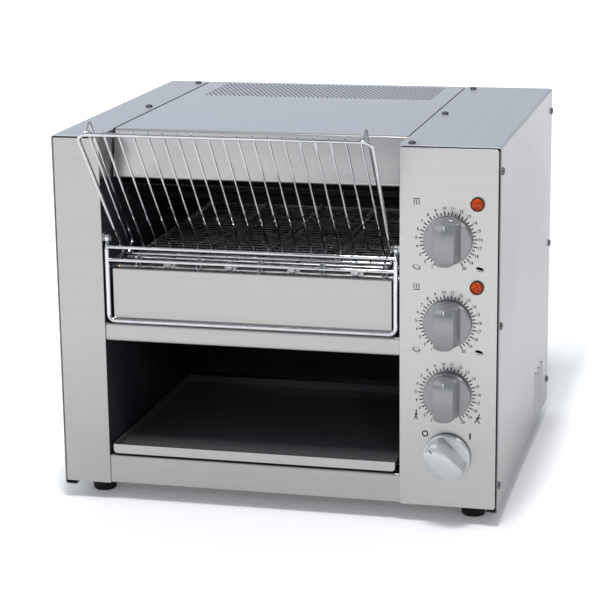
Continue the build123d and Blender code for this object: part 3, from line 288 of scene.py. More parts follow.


# Hood lip height; above it the inner walls are out of the painted shade
UNSHADED_ABOVE = BASE + 332 * MM
# Plain steel tone for the side covers' top strips, above the painted shade of their sides
ROOF_STEEL = ("Z", ROOF - 2 * MM, rgb(0.445, 0.46, 0.475), 1.0)
# Everything of the tray behind its front face takes a dark, barely metallic tone: painted shade of the chamber's
# mouth
TRAY_SHADED_INSIDE = ("Y", FRONT + MM, rgb(0.115, 0.117, 0.122), 0.2)
finishes = {
    "front_steel": brushed_steel("front_steel", "X", rgb(0.400, 0.392, 0.378)),
    "hood_steel": brushed_steel("hood_steel", "X", rgb(0.455, 0.445, 0.43)),
    "fascia_steel": brushed_steel("fascia_steel", "X", rgb(0.450, 0.442, 0.428)),
    # The sides take a far darker tone than the covers' top strips and the other steel: painted shade; the top strips
    # keep a plain steel tone
    "shaded_side_steel": brushed_steel("shaded_side_steel", "Y", rgb(0.195, 0.192, 0.197), beyond=ROOF_STEEL),
    "top_steel": brushed_steel("top_steel", "X", rgb(0.485, 0.49, 0.50)),
    "tray_steel": brushed_steel("tray_steel", "X", rgb(0.46, 0.455, 0.45), rough=0.24, metallic=0.90, gloss=0.1,
                                beyond=TRAY_SHADED_INSIDE),
    # Very dark chamber tones: heat stain and painted shade of the closed chamber; the walls take a bright tone above
    # the hood lip's height
    "wall_steel": scorched_shaded_steel("wall_steel", rgb(0.065, 0.068, 0.08), UNSHADED_ABOVE),
    "chamber_steel": scorched_shaded_steel("chamber_steel", rgb(0.015, 0.015, 0.017)),
    "chute_steel": scorched_shaded_steel("chute_steel", rgb(0.085, 0.085, 0.09)),
    "plated_steel": plain_metal("plated_steel", rgb(0.42, 0.42, 0.43), 0.45),
    "belt_steel": plain_metal("belt_steel", rgb(0.78, 0.78, 0.78), 0.28, spread=0.20),
    "bright_wire": plain_metal("bright_wire", rgb(0.56, 0.56, 0.57), 0.08, spread=0.06),
    "screw_steel": plain_metal("screw_steel", rgb(0.13, 0.13, 0.135), 0.28),
    # Near-black matte heater sheaths: heat blackening and painted shade of the chamber
    "heater_sheath": moulded("heater_sheath", rgb(0.012, 0.011, 0.010), 0.80, gloss=0.10),
    "insulator": moulded("insulator", rgb(0.16, 0.15, 0.135), 0.60),
    "bush_bronze": plain_metal("bush_bronze", rgb(0.45, 0.29, 0.14), 0.35),
    "motor_case": moulded("motor_case", rgb(0.05, 0.055, 0.06), 0.45),
    "black_rubber": moulded("black_rubber", rgb(0.008, 0.008, 0.009), 0.60, gloss=0.25),
    "black_plastic": moulded("black_plastic", rgb(0.022, 0.022, 0.023), 0.42),
    "spindle_steel": plain_metal("spindle_steel", rgb(0.50, 0.50, 0.50), 0.30),
    "knob_grey": moulded("knob_grey", rgb(0.285, 0.288, 0.291), 0.19, coat=0.35, metallic=0.35),
    "switch_silver": moulded("switch_silver", rgb(0.62, 0.635, 0.63), 0.18, coat=0.35, metallic=0.35),
    "lamp_red": lamp_glass("lamp_red", rgb(0.74, 0.105, 0.004), rgb(0.26, 0.014, 0.001)),
    "lamp_ring": plain_metal("lamp_ring", rgb(0.055, 0.024, 0.016), 0.22),
    "black_ink": printed_ink("black_ink", rgb(0.006, 0.006, 0.007)),
    "white_ink": printed_ink("white_ink", rgb(0.62, 0.63, 0.63)),
}

NODE_FINISHES = {
    "fascia_steel": ("fascia",),
    "front_steel": ("left_front_panel", "bottom_rail", "mid_rail", "front_panel", "back_panel"),
    "tray_steel": ("toast_tray",),
    "shaded_side_steel": ("left_cover", "right_cover"),
    "wall_steel": ("inner_left_wall", "inner_right_wall"),
    "chamber_steel": ("top_reflector", "crumb_plate"),
    "chute_steel": ("return_chute",),
    "plated_steel": ("base_pan", "control_panel", "tray_runners", "motor_bracket", "runner_rods", "belt_runners",
                     "pivot_washers", "drive_wheels", "idler_wheels"),
    "screw_steel": ("foot_screws", "pivot_screws"),
    "heater_sheath": ("upper_elements", "lower_elements"),
    "insulator": ("element_insulators",),
    "bush_bronze": ("shaft_bushes",),
    "motor_case": ("gear_motor",),
    "black_rubber": ("feet",),
    "black_plastic": ("cable_gland", "upper_heat_regulator", "lower_heat_regulator", "speed_control", "main_switch",
                      "terminal_block"),
    "spindle_steel": ("drive_shaft", "idler_shaft", "shaft_coupling", "output_shaft", "upper_heat_spindle",
                      "lower_heat_spindle", "speed_spindle", "switch_spindle"),
    "lamp_ring": ("lamp_bodies",),
}
for finish_name, node_names in NODE_FINISHES.items():
    for node_name in node_names:
        frame["nodes"][node_name].material_slots[0].material = finishes[finish_name]


# Mesh tools

DOME_STEPS = ((0.5, 0.866), (0.35, 0.61))


def pull(bm, edges, move, widen=1.0):
    """Extrudes a loop of edges by a move and widens or narrows it; gives the new loop."""
    made = bmesh.ops.extrude_edge_only(bm, edges=edges)["geom"]
    verts = [part for part in made if isinstance(part, BMVert)]
    bmesh.ops.translate(bm, verts=verts, vec=move)
    if widen != 1.0:
        middle = sum((vert.co for vert in verts), Vector()) / len(verts)
        bmesh.ops.scale(bm, verts=verts, vec=(widen, widen, widen), space=Matrix.Translation(-middle))
    return [part for part in made if isinstance(part, BMEdge) and part.is_boundary]


def swing(bm, edges, centre, axis, angle, step=15):
    """Turns a loop of edges about an axis and leaves a surface behind; gives the new loop."""
    verts = list({vert for edge in edges for vert in edge.verts})
    spun = bmesh.ops.spin(bm, geom=verts + edges, cent=centre, axis=axis, dvec=(0, 0, 0), angle=angle,
                          steps=max(2, ceil(degrees(abs(angle)) / step)), use_duplicate=False)
    return [part for part in spun["geom_last"] if isinstance(part, BMEdge)]


def cut(bm, place, outward, drop=False, near=0.0):
    """Cuts a mesh along a plane and may drop what lies outward of it."""
    bmesh.ops.bisect_plane(bm, geom=bm.verts[:] + bm.edges[:] + bm.faces[:], plane_co=place, plane_no=outward,
                           clear_outer=drop, dist=near)


def soften(bm, edges, width):
    """Rounds edges slightly."""
    bmesh.ops.bevel(bm, geom=edges, offset=width, affect="EDGES", segments=2, profile=0.5, material=-1)


def round_off(bm, edges, outward, radius):
    """Closes a wire's end with a small dome."""
    for rise, narrow in DOME_STEPS:
        edges = pull(bm, edges, outward * radius * rise, narrow)
    bmesh.ops.contextual_create(bm, geom=edges)


def draw_wire(bm, points, radius, bends, sides):
    """Draws round wire through the points, bent to a radius at each inner one, with domed ends."""
    heading = (points[1] - points[0]).normalized()
    place = Matrix.Translation(points[0]) @ heading.to_track_quat("Z", "Y").to_matrix().to_4x4()
    ring = bmesh.ops.create_circle(bm, segments=sides, radius=radius, matrix=place)["verts"]
    last = list({edge for vert in ring for edge in vert.link_edges})
    round_off(bm, last, -heading, radius)
    here = points[0]
    for i, bend in enumerate(bends):
        corner = points[i + 1]
        onward = (points[i + 2] - corner).normalized()
        angle = heading.angle(onward)
        reach = bend * tan(angle / 2)
        stop = corner - heading * reach
        axis = heading.cross(onward).normalized()
        last = pull(bm, last, stop - here)
        last = swing(bm, last, stop + axis.cross(heading) * bend, axis, angle)
        here = corner + onward * reach
        heading = onward
    last = pull(bm, last, points[-1] - here)
    round_off(bm, last, heading, radius)


def turned(bm, outline, place, sides=32):
    """Turns an outline of radius and height pairs into a round body, its axis on the place's Z."""
    verts = [bm.verts.new((radius, 0, height)) for radius, height in outline]
    edges = [bm.edges.new(pair) for pair in zip(verts, verts[1:])]
    before = set(bm.verts) - set(verts)
    bmesh.ops.spin(bm, geom=verts + edges, cent=(0, 0, 0), axis=UP, dvec=(0, 0, 0), angle=2 * pi,
                   steps=sides, use_merge=True, use_duplicate=False)
    bmesh.ops.remove_doubles(bm, verts=[vert for vert in bm.verts if vert not in before], dist=WELD)
    bmesh.ops.transform(bm, matrix=place, verts=[vert for vert in bm.verts if vert not in before])


def brick(bm, centre, size, turn=None):
    """Block of one size at a centre."""
    place = Matrix.Translation(centre) @ (turn or Matrix.Identity(4)) @ Matrix.Diagonal((*size, 1.0))
    return bmesh.ops.create_cube(bm, size=1.0, matrix=place)["verts"]


def facing(place, outward):
    """Frame at a place whose Z points outward and whose Y points up where it can."""
    outward = Vector(outward).normalized()
    side = UP.cross(outward)
    side = side.normalized() if side.length > WELD else ACROSS
    turn = Matrix((side, outward.cross(side), outward)).transposed().to_4x4()
    return Matrix.Translation(place) @ turn


def place_copy(bm, mesh, place):
    """Adds a copy of a mesh at a place."""
    known = len(bm.verts)
    bm.from_mesh(mesh)
    bm.verts.ensure_lookup_table()
    bmesh.ops.transform(bm, matrix=place, verts=bm.verts[known:])


def made_mesh(name, bm):
    """Turns what was drawn into a mesh."""
    mesh = bpy.data.meshes.new(name)
    bm.to_mesh(mesh)
    bm.free()
    return mesh


def put_in_scene(name, data):
    """Makes an object of a mesh, a light or a camera."""
    thing = bpy.data.objects.new(name, data)
    bpy.context.scene.collection.objects.link(thing)
    return thing


def finish_piece(name, bm, finish, body, slot, *nodes, turn_out=True):
    """Makes a piece of what was drawn: it takes a finish, rides on a body and may stand for CAD nodes."""
    if turn_out:
        bmesh.ops.recalc_face_normals(bm, faces=bm.faces)
    mesh = made_mesh(name, bm)
    mesh.shade_smooth()
    mesh.set_sharp_from_angle(angle=SHARP)
    mesh.materials.append(finishes[finish])
    piece = put_in_scene(name, mesh)
    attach(piece, body)
    if nodes:
        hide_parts(*nodes)
    return piece


# Loading rack

LEAN = radians(39.4)
RACK_LEN = 191.3 * MM
RACK_FOOT = (32.0 * MM, 252.3 * MM)
RACK_HALF_FOOT = 146.5 * MM
RACK_HALF_TOP = 150.0 * MM
RACK_BEND = 10.0 * MM
HEEL_BEND = 4.0 * MM
FRAME_WIRE_R = 2.0 * MM
FRAME_WIRE_SIDES = 14
WIRE_R = 1.25 * MM
WIRE_SIDES = 10
WIRE_COUNT = 19
WIRE_HALF = 138.6 * MM
WIRE_POKE = 2.0 * MM
WIRE_BEHIND = FRAME_WIRE_R + WIRE_R
GUARD_HALF = 141.5 * MM
GUARD_STANDOFF = 15.0 * MM
GUARD_BEND = GUARD_STANDOFF / 4
LOOP_WIRE_R = 2.5 * MM
LOOP_WIRE_SIDES = 16
LOOP_HALF = 155.5 * MM
LOOP_D = 2.5 * MM
LOOP_BOTTOM = 185.0 * MM
LOOP_BEND = 7.0 * MM
BAR_UPPER = 265.0 * MM
BAR_LOWER = 251.2 * MM
PIVOT = joint_place("rack_lift")
EYE_R = 5.0 * MM
EYE_BORE = 2.6 * MM
EYE_HALF_T = LOOP_WIRE_R * 0.96
EYE_SOFT = LOOP_WIRE_R * 0.3
EYE_SIDES = 28


def rack_point(x, along, behind=0.0):
    """Point of the leaning rack: width from the mouth's middle, length up it and distance behind it."""
    depth = RACK_FOOT[0] - along * sin(LEAN) + behind * cos(LEAN)
    height = RACK_FOOT[1] + along * cos(LEAN) + behind * sin(LEAN)
    return spot(MOUTH_MID + x, depth, height)


def both_sides(half, depth, height):
    """The same point on the left and on the right of the mouth's middle."""
    return [spot(MOUTH_MID + side * half, depth, height) for side in SIDES]


def rack_piece(name, node, wires, radius, sides, eyes=()):
    """Piece of the rack, drawn from wires' points and bends, with eyes for the pivot screws if it has them."""
    bm = bmesh.new()
    for points, bends in wires:
        draw_wire(bm, points, radius, bends, sides)
    for eye in eyes:
        turned(bm, ((EYE_BORE, -EYE_HALF_T), (EYE_R - EYE_SOFT, -EYE_HALF_T), (EYE_R, EYE_SOFT - EYE_HALF_T),
                    (EYE_R, EYE_HALF_T - EYE_SOFT), (EYE_R - EYE_SOFT, EYE_HALF_T), (EYE_BORE, EYE_HALF_T),
                    (EYE_BORE, -EYE_HALF_T)), facing(eye, ACROSS), EYE_SIDES)
    finish_piece(name, bm, "bright_wire", "loading_rack", "bright_wire", node)


ends = both_sides(RACK_HALF_FOOT, LOOP_D, BAR_LOWER)
heels = [rack_point(side * RACK_HALF_FOOT, 0) for side in SIDES]
crowns = [rack_point(side * RACK_HALF_TOP, RACK_LEN) for side in SIDES]
frame_route = [ends[0], heels[0], crowns[0], crowns[1], heels[1], ends[1]]
rack_piece("rack_frame_wire", "rack_frame", [(frame_route, (HEEL_BEND, RACK_BEND, RACK_BEND, HEEL_BEND))],
           FRAME_WIRE_R, FRAME_WIRE_SIDES)

wire_places = [WIRE_HALF * (2 * i / (WIRE_COUNT - 1) - 1) for i in range(WIRE_COUNT)]
rack_piece("rack_round_wires", "rack_wires",
           [([rack_point(x, -FRAME_WIRE_R, WIRE_BEHIND), rack_point(x, RACK_LEN + WIRE_POKE, WIRE_BEHIND)], ())
            for x in wire_places], WIRE_R, WIRE_SIDES)

rack_piece("rack_round_bars", "rack_bars", [(heels, ())], FRAME_WIRE_R, FRAME_WIRE_SIDES)

guard_reach = WIRE_BEHIND + GUARD_STANDOFF
guard_corners = ((0, FRAME_WIRE_R), (0, guard_reach), (RACK_LEN, guard_reach), (RACK_LEN, FRAME_WIRE_R))
rack_piece("rack_side_guards", "side_guards",
           [([rack_point(side * GUARD_HALF, *corner) for corner in guard_corners], (GUARD_BEND, GUARD_BEND))
            for side in SIDES], WIRE_R, WIRE_SIDES)

tips = both_sides(LOOP_HALF, PIVOT.y - FRONT, PIVOT.z - BASE)
hips = both_sides(LOOP_HALF, LOOP_D, BAR_UPPER - LOOP_WIRE_R)
toes = both_sides(LOOP_HALF, LOOP_D, LOOP_BOTTOM)
starts = [tip + (hip - tip).normalized() * (EYE_R + EYE_BORE) / 2 for tip, hip in zip(tips, hips)]
loop_route = [starts[0], hips[0], toes[0], toes[1], hips[1], starts[1]]
rack_piece("rack_support_loop", "support_loop", [(loop_route, (HEEL_BEND, LOOP_BEND, LOOP_BEND, HEEL_BEND))],
           LOOP_WIRE_R, LOOP_WIRE_SIDES, eyes=tips)

rack_piece("loop_round_bars", "loop_cross_bars",
           [(both_sides(LOOP_HALF, LOOP_D, height), ()) for height in (BAR_UPPER, BAR_LOWER)],
           FRAME_WIRE_R, FRAME_WIRE_SIDES)

# Wire belt

BELT_HALF = 140.0 * MM
IDLER_AXIS = joint_place("idler_turn")
DRIVE_AXIS = joint_place("drive_turn")
BELT_R = 19.3 * MM
BELT_TURN = 10
BELT_WIRE_R = 0.85 * MM
BELT_WIRE_SIDES = 6
LINK_COLUMNS = 5
LINK_W = 4.4 * MM
LINK_BEND = 1.1 * MM
LINK_LIFT = 2 * BELT_WIRE_R
BELT_PITCH = 2 * BELT_R * sin(pi / BELT_TURN)
LINK_REACH = BELT_PITCH + 1.6 * BELT_WIRE_R
BELT_RUN = round((DRIVE_AXIS.y - IDLER_AXIS.y) / BELT_PITCH)


def strand_spot(i):
    """Centre of one strand, counted back along the top run and round the wheels."""
    wrap = BELT_RUN + BELT_TURN // 2
    i %= 2 * wrap
    if i >= wrap:
        return IDLER_AXIS + DRIVE_AXIS - strand_spot(i - wrap)
    if i <= BELT_RUN:
        return IDLER_AXIS + Vector((0, i * BELT_PITCH, BELT_R))
    turn = (i - BELT_RUN) * 2 * pi / BELT_TURN
    return DRIVE_AXIS + Vector((0, BELT_R * sin(turn), BELT_R * cos(turn)))


# One strand: a wire across the belt whose loops reach over the next strand
strand = bmesh.new()
route = [Vector((-BELT_HALF, -LINK_BEND, 0)), Vector((-BELT_HALF, 0, 0))]
for column in range(LINK_COLUMNS):
    x = (BELT_HALF - LINK_W) * (2 * column / (LINK_COLUMNS - 1) - 1)
    for side in SIDES:
        foot = Vector((x + side * LINK_W / 2, 0, 0))
        tip = Vector((x + side * LINK_W / 2, LINK_REACH, LINK_LIFT))
        route += [foot, tip] if side < 0 else [tip, foot]
route += [Vector((BELT_HALF, 0, 0)), Vector((BELT_HALF, -LINK_BEND, 0))]
draw_wire(strand, route, BELT_WIRE_R, [LINK_BEND] * (len(route) - 2), BELT_WIRE_SIDES)
strand_mesh = made_mesh("belt_strand", strand)

bm = bmesh.new()
for i in range(2 * BELT_RUN + BELT_TURN):
    here = strand_spot(i)
    ahead = (strand_spot(i + 1) - here).normalized()
    turn = Matrix((ACROSS, ahead, ACROSS.cross(ahead))).transposed().to_4x4()
    place_copy(bm, strand_mesh, Matrix.Translation(here) @ turn)
bpy.data.meshes.remove(strand_mesh)
finish_piece("wire_belt", bm, "belt_steel", "casing", "belt_steel", "conveyor_belt")

# Top cover with its vent field

HOOD_FOLD_D = 51.0 * MM
HOOD_LIP_D = 38.0 * MM
HOOD_LIP_H = 332.0 * MM
HOOD_RETURN = 18.0 * MM
BEND_R = 3.1 * MM
SEAM = 1.6 * MM
STRIP_LAP = 20.0 * MM
VENT_LEFT = -162.0 * MM
VENT_RIGHT = 113.0 * MM
VENT_FRONT_D = 301.0 * MM
VENT_BACK_D = 410.0 * MM
VENT_PITCH = 5.6 * MM
VENT_ROW = 12.1 * MM
VENT_WEB = 1.6 * MM
VENT_CORNER = 0.6 * MM
WHOLE_CELL = 0.45
FIELD_SIDES = ((0, VENT_LEFT, -1), (0, VENT_RIGHT, 1), (1, FRONT + VENT_FRONT_D, -1), (1, FRONT + VENT_BACK_D, 1))


def on_field_side(edge):
    """Whether an edge lies on a side of the vent field."""
    return any(sum(abs(vert.co[axis] - place) for vert in edge.verts) < NEAR for axis, place, _ in FIELD_SIDES)


# A grid of diamonds, cut to the field; each whole diamond becomes a hole between webs
bm = bmesh.new()
field_mid = Vector(((VENT_LEFT + VENT_RIGHT) / 2, FRONT + (VENT_FRONT_D + VENT_BACK_D) / 2, ROOF))
columns = round((VENT_RIGHT - VENT_LEFT) / VENT_PITCH)
rows = round((VENT_BACK_D - VENT_FRONT_D) / VENT_ROW)
cell = ((VENT_RIGHT - VENT_LEFT) / columns, (VENT_BACK_D - VENT_FRONT_D) / rows)
cells = columns + rows + 2
bmesh.ops.create_grid(bm, x_segments=cells, y_segments=cells, size=cells / 8**0.5,
                      matrix=Matrix.Translation(field_mid) @ Matrix.Diagonal((*cell, 1, 1))
                      @ Matrix.Rotation(radians(45), 4, "Z"))
for axis, place, way in FIELD_SIDES:
    outward = Vector((0, 0, 0))
    outward[axis] = way
    cut(bm, outward * way * place, outward, drop=True, near=NEAR)
whole = [face for face in bm.faces if face.calc_area() > WHOLE_CELL * cell[0] * cell[1]]
bmesh.ops.inset_individual(bm, faces=whole, thickness=VENT_WEB)
corners = list({vert for face in whole for vert in face.verts})
bmesh.ops.delete(bm, geom=whole, context="FACES_ONLY")
bmesh.ops.bevel(bm, geom=corners, offset=VENT_CORNER, affect="VERTICES", segments=1, profile=0.5, material=-1)
rim = [edge for edge in bm.edges if edge.is_boundary and on_field_side(edge)]

# The plate round the field, its folded hood and the hood's return
lean_back = Vector((0, HOOD_LIP_D - HOOD_FOLD_D, HOOD_LIP_H - (ROOF - BASE))).normalized()
fold_angle = Vector(TO_FRONT).angle(lean_back)
fold_reach = BEND_R * tan(fold_angle / 2)
lip_turn = pi - fold_angle
lip_reach = BEND_R * tan(lip_turn / 2)
slope = (Vector((0, HOOD_LIP_D, HOOD_LIP_H)) - Vector((0, HOOD_FOLD_D, ROOF - BASE))).length
plate_front = FRONT + HOOD_FOLD_D + fold_reach
plate_left = MOUTH_L + SEAM
plate_right = MOUTH_R - SEAM / 2
plate = [bm.verts.new(place) for place in ((plate_left, plate_front, ROOF), (plate_right, plate_front, ROOF),
                                           (plate_right, BACK, ROOF), (plate_left, BACK, ROOF))]
border = [bm.edges.new((plate[i], plate[(i + 1) % 4])) for i in range(4)]
bmesh.ops.triangle_fill(bm, use_beauty=True, edges=rim + border, normal=UP)
last = swing(bm, [border[0]], Vector((0, plate_front, ROOF - BEND_R)), ACROSS, fold_angle, step=8)
last = pull(bm, last, lean_back * (slope - fold_reach - lip_reach))
low_end = last[0].verts[0].co.copy()
last = swing(bm, last, low_end + ACROSS.cross(lean_back) * BEND_R, ACROSS, lip_turn, step=10)
pull(bm, last, Vector((0, HOOD_RETURN - lip_reach, 0)))
bmesh.ops.recalc_face_normals(bm, faces=bm.faces)
if sum(face.normal.z * face.calc_area() for face in bm.faces) < 0:
    bmesh.ops.reverse_faces(bm, faces=bm.faces)
bmesh.ops.solidify(bm, geom=bm.faces[:], thickness=SHEET)

# Laps that reach under the side covers' top strips; their near-black chamber finish is painted shade that darkens
# the seams
laps = []
lap_front = FRONT + HOOD_FOLD_D + SEAM
lap_back = BACK - SHEET
for side, seam_x in zip(SIDES, (MOUTH_L, MOUTH_R)):
    laps += brick(bm, (seam_x + side * STRIP_LAP / 4, (lap_front + lap_back) / 2, ROOF - 1.5 * SHEET),
                  (1.5 * STRIP_LAP, lap_back - lap_front, SHEET))
for face in bm.faces:
    face.material_index = 1 if face.calc_center_median().y < plate_front else 0
# The laps take the chamber finish: painted shade in the seams
for face in {face for vert in laps for face in vert.link_faces}:
    face.material_index = 2
cover = finish_piece("vented_top_cover", bm, "top_steel", "casing", "stainless", "top_cover", turn_out=False)
for finish_name in ("hood_steel", "chamber_steel"):
    cover.data.materials.append(finishes[finish_name])

# Screw heads

HEAD_R = 4.0 * MM
HEAD_H = 2.3 * MM
HEAD_PROFILE = ((0, 0), (1, 0), (1, 0.35), (0.93, 0.65), (0.75, 0.88), (0.45, 1), (0, 1))
HEAD_SIDES = 24
SLOT_W = 1.1 * MM
SLOT_LEN = 4.4 * MM
SLOT_DEPTH = 1.3 * MM
SCREW_TURN = radians(37)
SCREW_HEIGHTS = (27.0 * MM, 198.0 * MM, 358.0 * MM)
SIDE_SCREW_DEPTHS = (8.0 * MM, 411.0 * MM)
TOP_SCREW_DEPTHS = (11.0 * MM, 207.0 * MM, 404.0 * MM)
TOP_SCREW_OUTSET = 11.0 * MM


def pan_head():
    """Domed screw head with a cross recess, as a mesh standing on Z."""
    head = bmesh.new()
    turned(head, [(HEAD_R * share, HEAD_H * rise) for share, rise in HEAD_PROFILE], Matrix.Identity(4), HEAD_SIDES)
    bmesh.ops.recalc_face_normals(head, faces=head.faces)
    cross = bmesh.new()
    for size in ((SLOT_LEN, SLOT_W, 2 * SLOT_DEPTH), (SLOT_W, SLOT_LEN, 2 * SLOT_DEPTH)):
        brick(cross, (0, 0, HEAD_H), size)
    shapes = [put_in_scene(name, made_mesh(name, shape)) for name, shape in (("head", head), ("cross", cross))]
    recess = shapes[0].modifiers.new("cross", "BOOLEAN")
    recess.operation = "DIFFERENCE"
    recess.solver = "EXACT"
    recess.use_self = True
    recess.object = shapes[1]
    result = bpy.data.meshes.new_from_object(shapes[0].evaluated_get(bpy.context.evaluated_depsgraph_get()))
    for shape in shapes:
        mesh = shape.data
        bpy.data.objects.remove(shape)
        bpy.data.meshes.remove(mesh)
    return result


head_mesh = pan_head()
bm = bmesh.new()
seats = []
for side, seam_x in zip(SIDES, (MOUTH_L, MOUTH_R)):
    seats += [(spot(side * CASE_HALF, depth, height), (side, 0, 0))
              for depth in SIDE_SCREW_DEPTHS for height in SCREW_HEIGHTS]
    seats += [(spot(seam_x + side * TOP_SCREW_OUTSET, depth, ROOF - BASE), UP) for depth in TOP_SCREW_DEPTHS]
for i, (place, outward) in enumerate(seats):
    place_copy(bm, head_mesh, facing(place, outward) @ Matrix.Rotation(SCREW_TURN * i, 4, "Z"))
bpy.data.meshes.remove(head_mesh)
finish_piece("cover_screw_heads", bm, "screw_steel", "casing", "screw_steel", "cover_screws", turn_out=False)

# Knobs with pointer marks

KNOB_R = 25.0 * MM
KNOB_GAP = 2.0 * MM
KNOB_SKIRT = 5.0 * MM
KNOB_RIM = 1.5 * MM
KNOB_SIDES = 64
GRIP_BASE_W = 28.0 * MM
GRIP_TIP_W = 20.0 * MM
GRIP_LEN = 46.0 * MM
GRIP_TIP_LEN = 45.0 * MM
GRIP_H = 22.0 * MM
GRIP_TOP = KNOB_SKIRT + GRIP_H
GRIP_LOW = KNOB_SKIRT - 0.5 * MM
GRIP_CROWN = 2.5 * MM
GRIP_SOFT = 0.5 * MM
GRIP_SIDES = 48
GRIP_CUT = GRIP_LEN / 9
GRIP_EDGE = radians(20)
END_FROM = GRIP_LEN / 2.7
END_ROUND = 3.2 * MM
GRIP_BOW = 0.07
BOW_MIDDLE = 0.6
MARK_LEN = 4.2 * MM
MARK_W = 1.1 * MM
MARK_T = 0.3 * MM
MARK_SOFT = 0.08 * MM
MARK_UP = 17.5 * MM
SWITCH_REST = radians(-45)


def crown_drop(y):
    """How far the grip's front falls below its middle at a length along it."""
    return GRIP_CROWN * (2 * y / GRIP_LEN)**2


def knob(name, joint, turn, finish, ink):
    """Round skirt, a tapered bar grip whose ends follow it and whose front is crowned, and a pointer mark."""
    body = JOINTS[joint]["child"]
    centre = joint_place(joint)
    seat = facing(Vector((centre.x, FRONT - KNOB_GAP, centre.z)), TO_FRONT) @ Matrix.Rotation(-turn, 4, "Z")
    bm = bmesh.new()
    bmesh.ops.create_circle(bm, segments=GRIP_SIDES, radius=GRIP_LEN / 2, cap_ends=True,
                            matrix=Matrix.Translation((0, 0, GRIP_LOW)))
    for side in SIDES:
        cut(bm, (side * GRIP_BASE_W / 2, 0, 0), (side, 0, 0), drop=True)
    for step in range(-3, 4):
        cut(bm, (0, step * GRIP_CUT, 0), (0, 1, 0))
    raised = bmesh.ops.extrude_face_region(bm, geom=bm.faces[:])["geom"]
    upper = [part for part in raised if isinstance(part, BMVert)]
    bmesh.ops.translate(bm, verts=upper, vec=(0, 0, GRIP_TOP - GRIP_LOW))
    bmesh.ops.scale(bm, verts=upper, vec=(GRIP_TIP_W / GRIP_BASE_W, GRIP_TIP_LEN / GRIP_LEN, 1.0))
    for vert in upper:
        if abs(vert.co.y) > END_FROM:
            vert.co.y = copysign(GRIP_TIP_LEN / 2 - END_ROUND * abs(2 * vert.co.x / GRIP_TIP_W)**3, vert.co.y)
        vert.co.x *= 1 + GRIP_BOW * (BOW_MIDDLE - (2 * vert.co.y / GRIP_TIP_LEN)**2)
        vert.co.z -= crown_drop(vert.co.y)
    bmesh.ops.recalc_face_normals(bm, faces=bm.faces)
    soften(bm, [edge for edge in bm.edges if max(vert.co.z for vert in edge.verts) > KNOB_SKIRT
                and edge.calc_face_angle(0.0) > GRIP_EDGE], GRIP_SOFT)
    bmesh.ops.transform(bm, matrix=seat, verts=bm.verts)
    turned(bm, ((0, 0), (KNOB_R - KNOB_RIM / 2, 0), (KNOB_R, KNOB_RIM / 2), (KNOB_R, KNOB_SKIRT - 1.4 * KNOB_RIM),
                (KNOB_R - 0.3 * KNOB_RIM, KNOB_SKIRT - 0.5 * KNOB_RIM), (KNOB_R - 1.2 * KNOB_RIM, KNOB_SKIRT),
                (KNOB_R - 1.5 * KNOB_RIM, KNOB_SKIRT), (0, KNOB_SKIRT)), seat, KNOB_SIDES)
    finish_piece(name + "_moulding", bm, finish, body, finish, name)
    mark = bmesh.new()
    tilt = Matrix.Rotation(-crown_drop(MARK_UP) * 2 / MARK_UP, 4, "X")
    brick(mark, (0, MARK_UP, GRIP_TOP - crown_drop(MARK_UP)), (MARK_W, MARK_LEN, MARK_T), tilt)
    soften(mark, mark.edges[:], MARK_SOFT)
    bmesh.ops.transform(mark, matrix=seat, verts=mark.verts)
    finish_piece(name + "_mark", mark, ink, body, finish)


knob("upper_heat_knob", "upper_heat_turn", 0.0, "knob_grey", "white_ink")
knob("lower_heat_knob", "lower_heat_turn", 0.0, "knob_grey", "white_ink")
knob("speed_knob", "speed_turn", 0.0, "knob_grey", "white_ink")
knob("switch_knob", "power_turn", SWITCH_REST, "switch_silver", "black_ink")

# Lamp lenses

LENS_R = 5.8 * MM
LENS_SINK = 6.0 * MM
LENS_RISE = 1.6 * MM
LENS_PROFILE = ((1.0, 0.0), (0.97, 0.18), (0.77, 0.56), (0.5, 0.79), (0.25, 0.94), (0.0, 1.0))
RING_PROUD = 2.2 * MM
LAMP_X = 214.0 * MM
LAMP_HEIGHTS = (325.0 * MM, 239.0 * MM)

bm = bmesh.new()
dome = [(LENS_R * share, LENS_RISE * rise) for share, rise in LENS_PROFILE]
for height in LAMP_HEIGHTS:
    turned(bm, [(0, -LENS_SINK), (LENS_R, -LENS_SINK)] + dome, facing(spot(LAMP_X, -RING_PROUD, height), TO_FRONT))
finish_piece("lamp_domes", bm, "lamp_red", "casing", "lamp_red", "lamp_lenses")

# Printed dials and signs; the signs are drawn in millimetres

INK = 0.06 * MM
DIAL_SPAN = radians(300)
DIAL_STEPS = 20
TICK_INNER = 26.0 * MM
TICK_OUTER = 30.4 * MM
HALF_TICK_OUTER = 28.8 * MM
TICK_W = 1.3 * MM
NUMBER_R = 32.9 * MM
NUMBER_SIZE = 4.4 * MM
NUMBER_BOLD = 0.13 * MM
STROKE_SIDES = 8
DISC_SIDES = 28
WAVE_STROKE = 0.42 * MM
BAR_STROKE = 0.46 * MM
CRUST_STROKE = 0.34 * MM
CRUST_BEND = 0.8 * MM
TRUNK_STROKE = 0.95 * MM
LEG_STROKE = 0.72 * MM
ARM_STROKE = 0.52 * MM
ON_STROKE = 0.95 * MM
FIGURE_SIZE = Matrix.Diagonal((0.84, 0.84, 1, 1))
HEAT_SIGN_AT = (-32.5, 38.2)
HEAT_BAR = 3.6
WALKER_AT = (-32.7, -23.6)
RUNNER_AT = (31.2, -24.3)


def ink_face(joint):
    """Frame on the fascia's front at a joint's axis: X to the right, Y up, Z out."""
    centre = joint_place(joint)
    return facing(Vector((centre.x, FRONT, centre.z)), TO_FRONT)


def moved(face, x, y):
    """A face's frame moved across it by millimetres."""
    return face @ Matrix.Translation((x * MM, y * MM, 0))


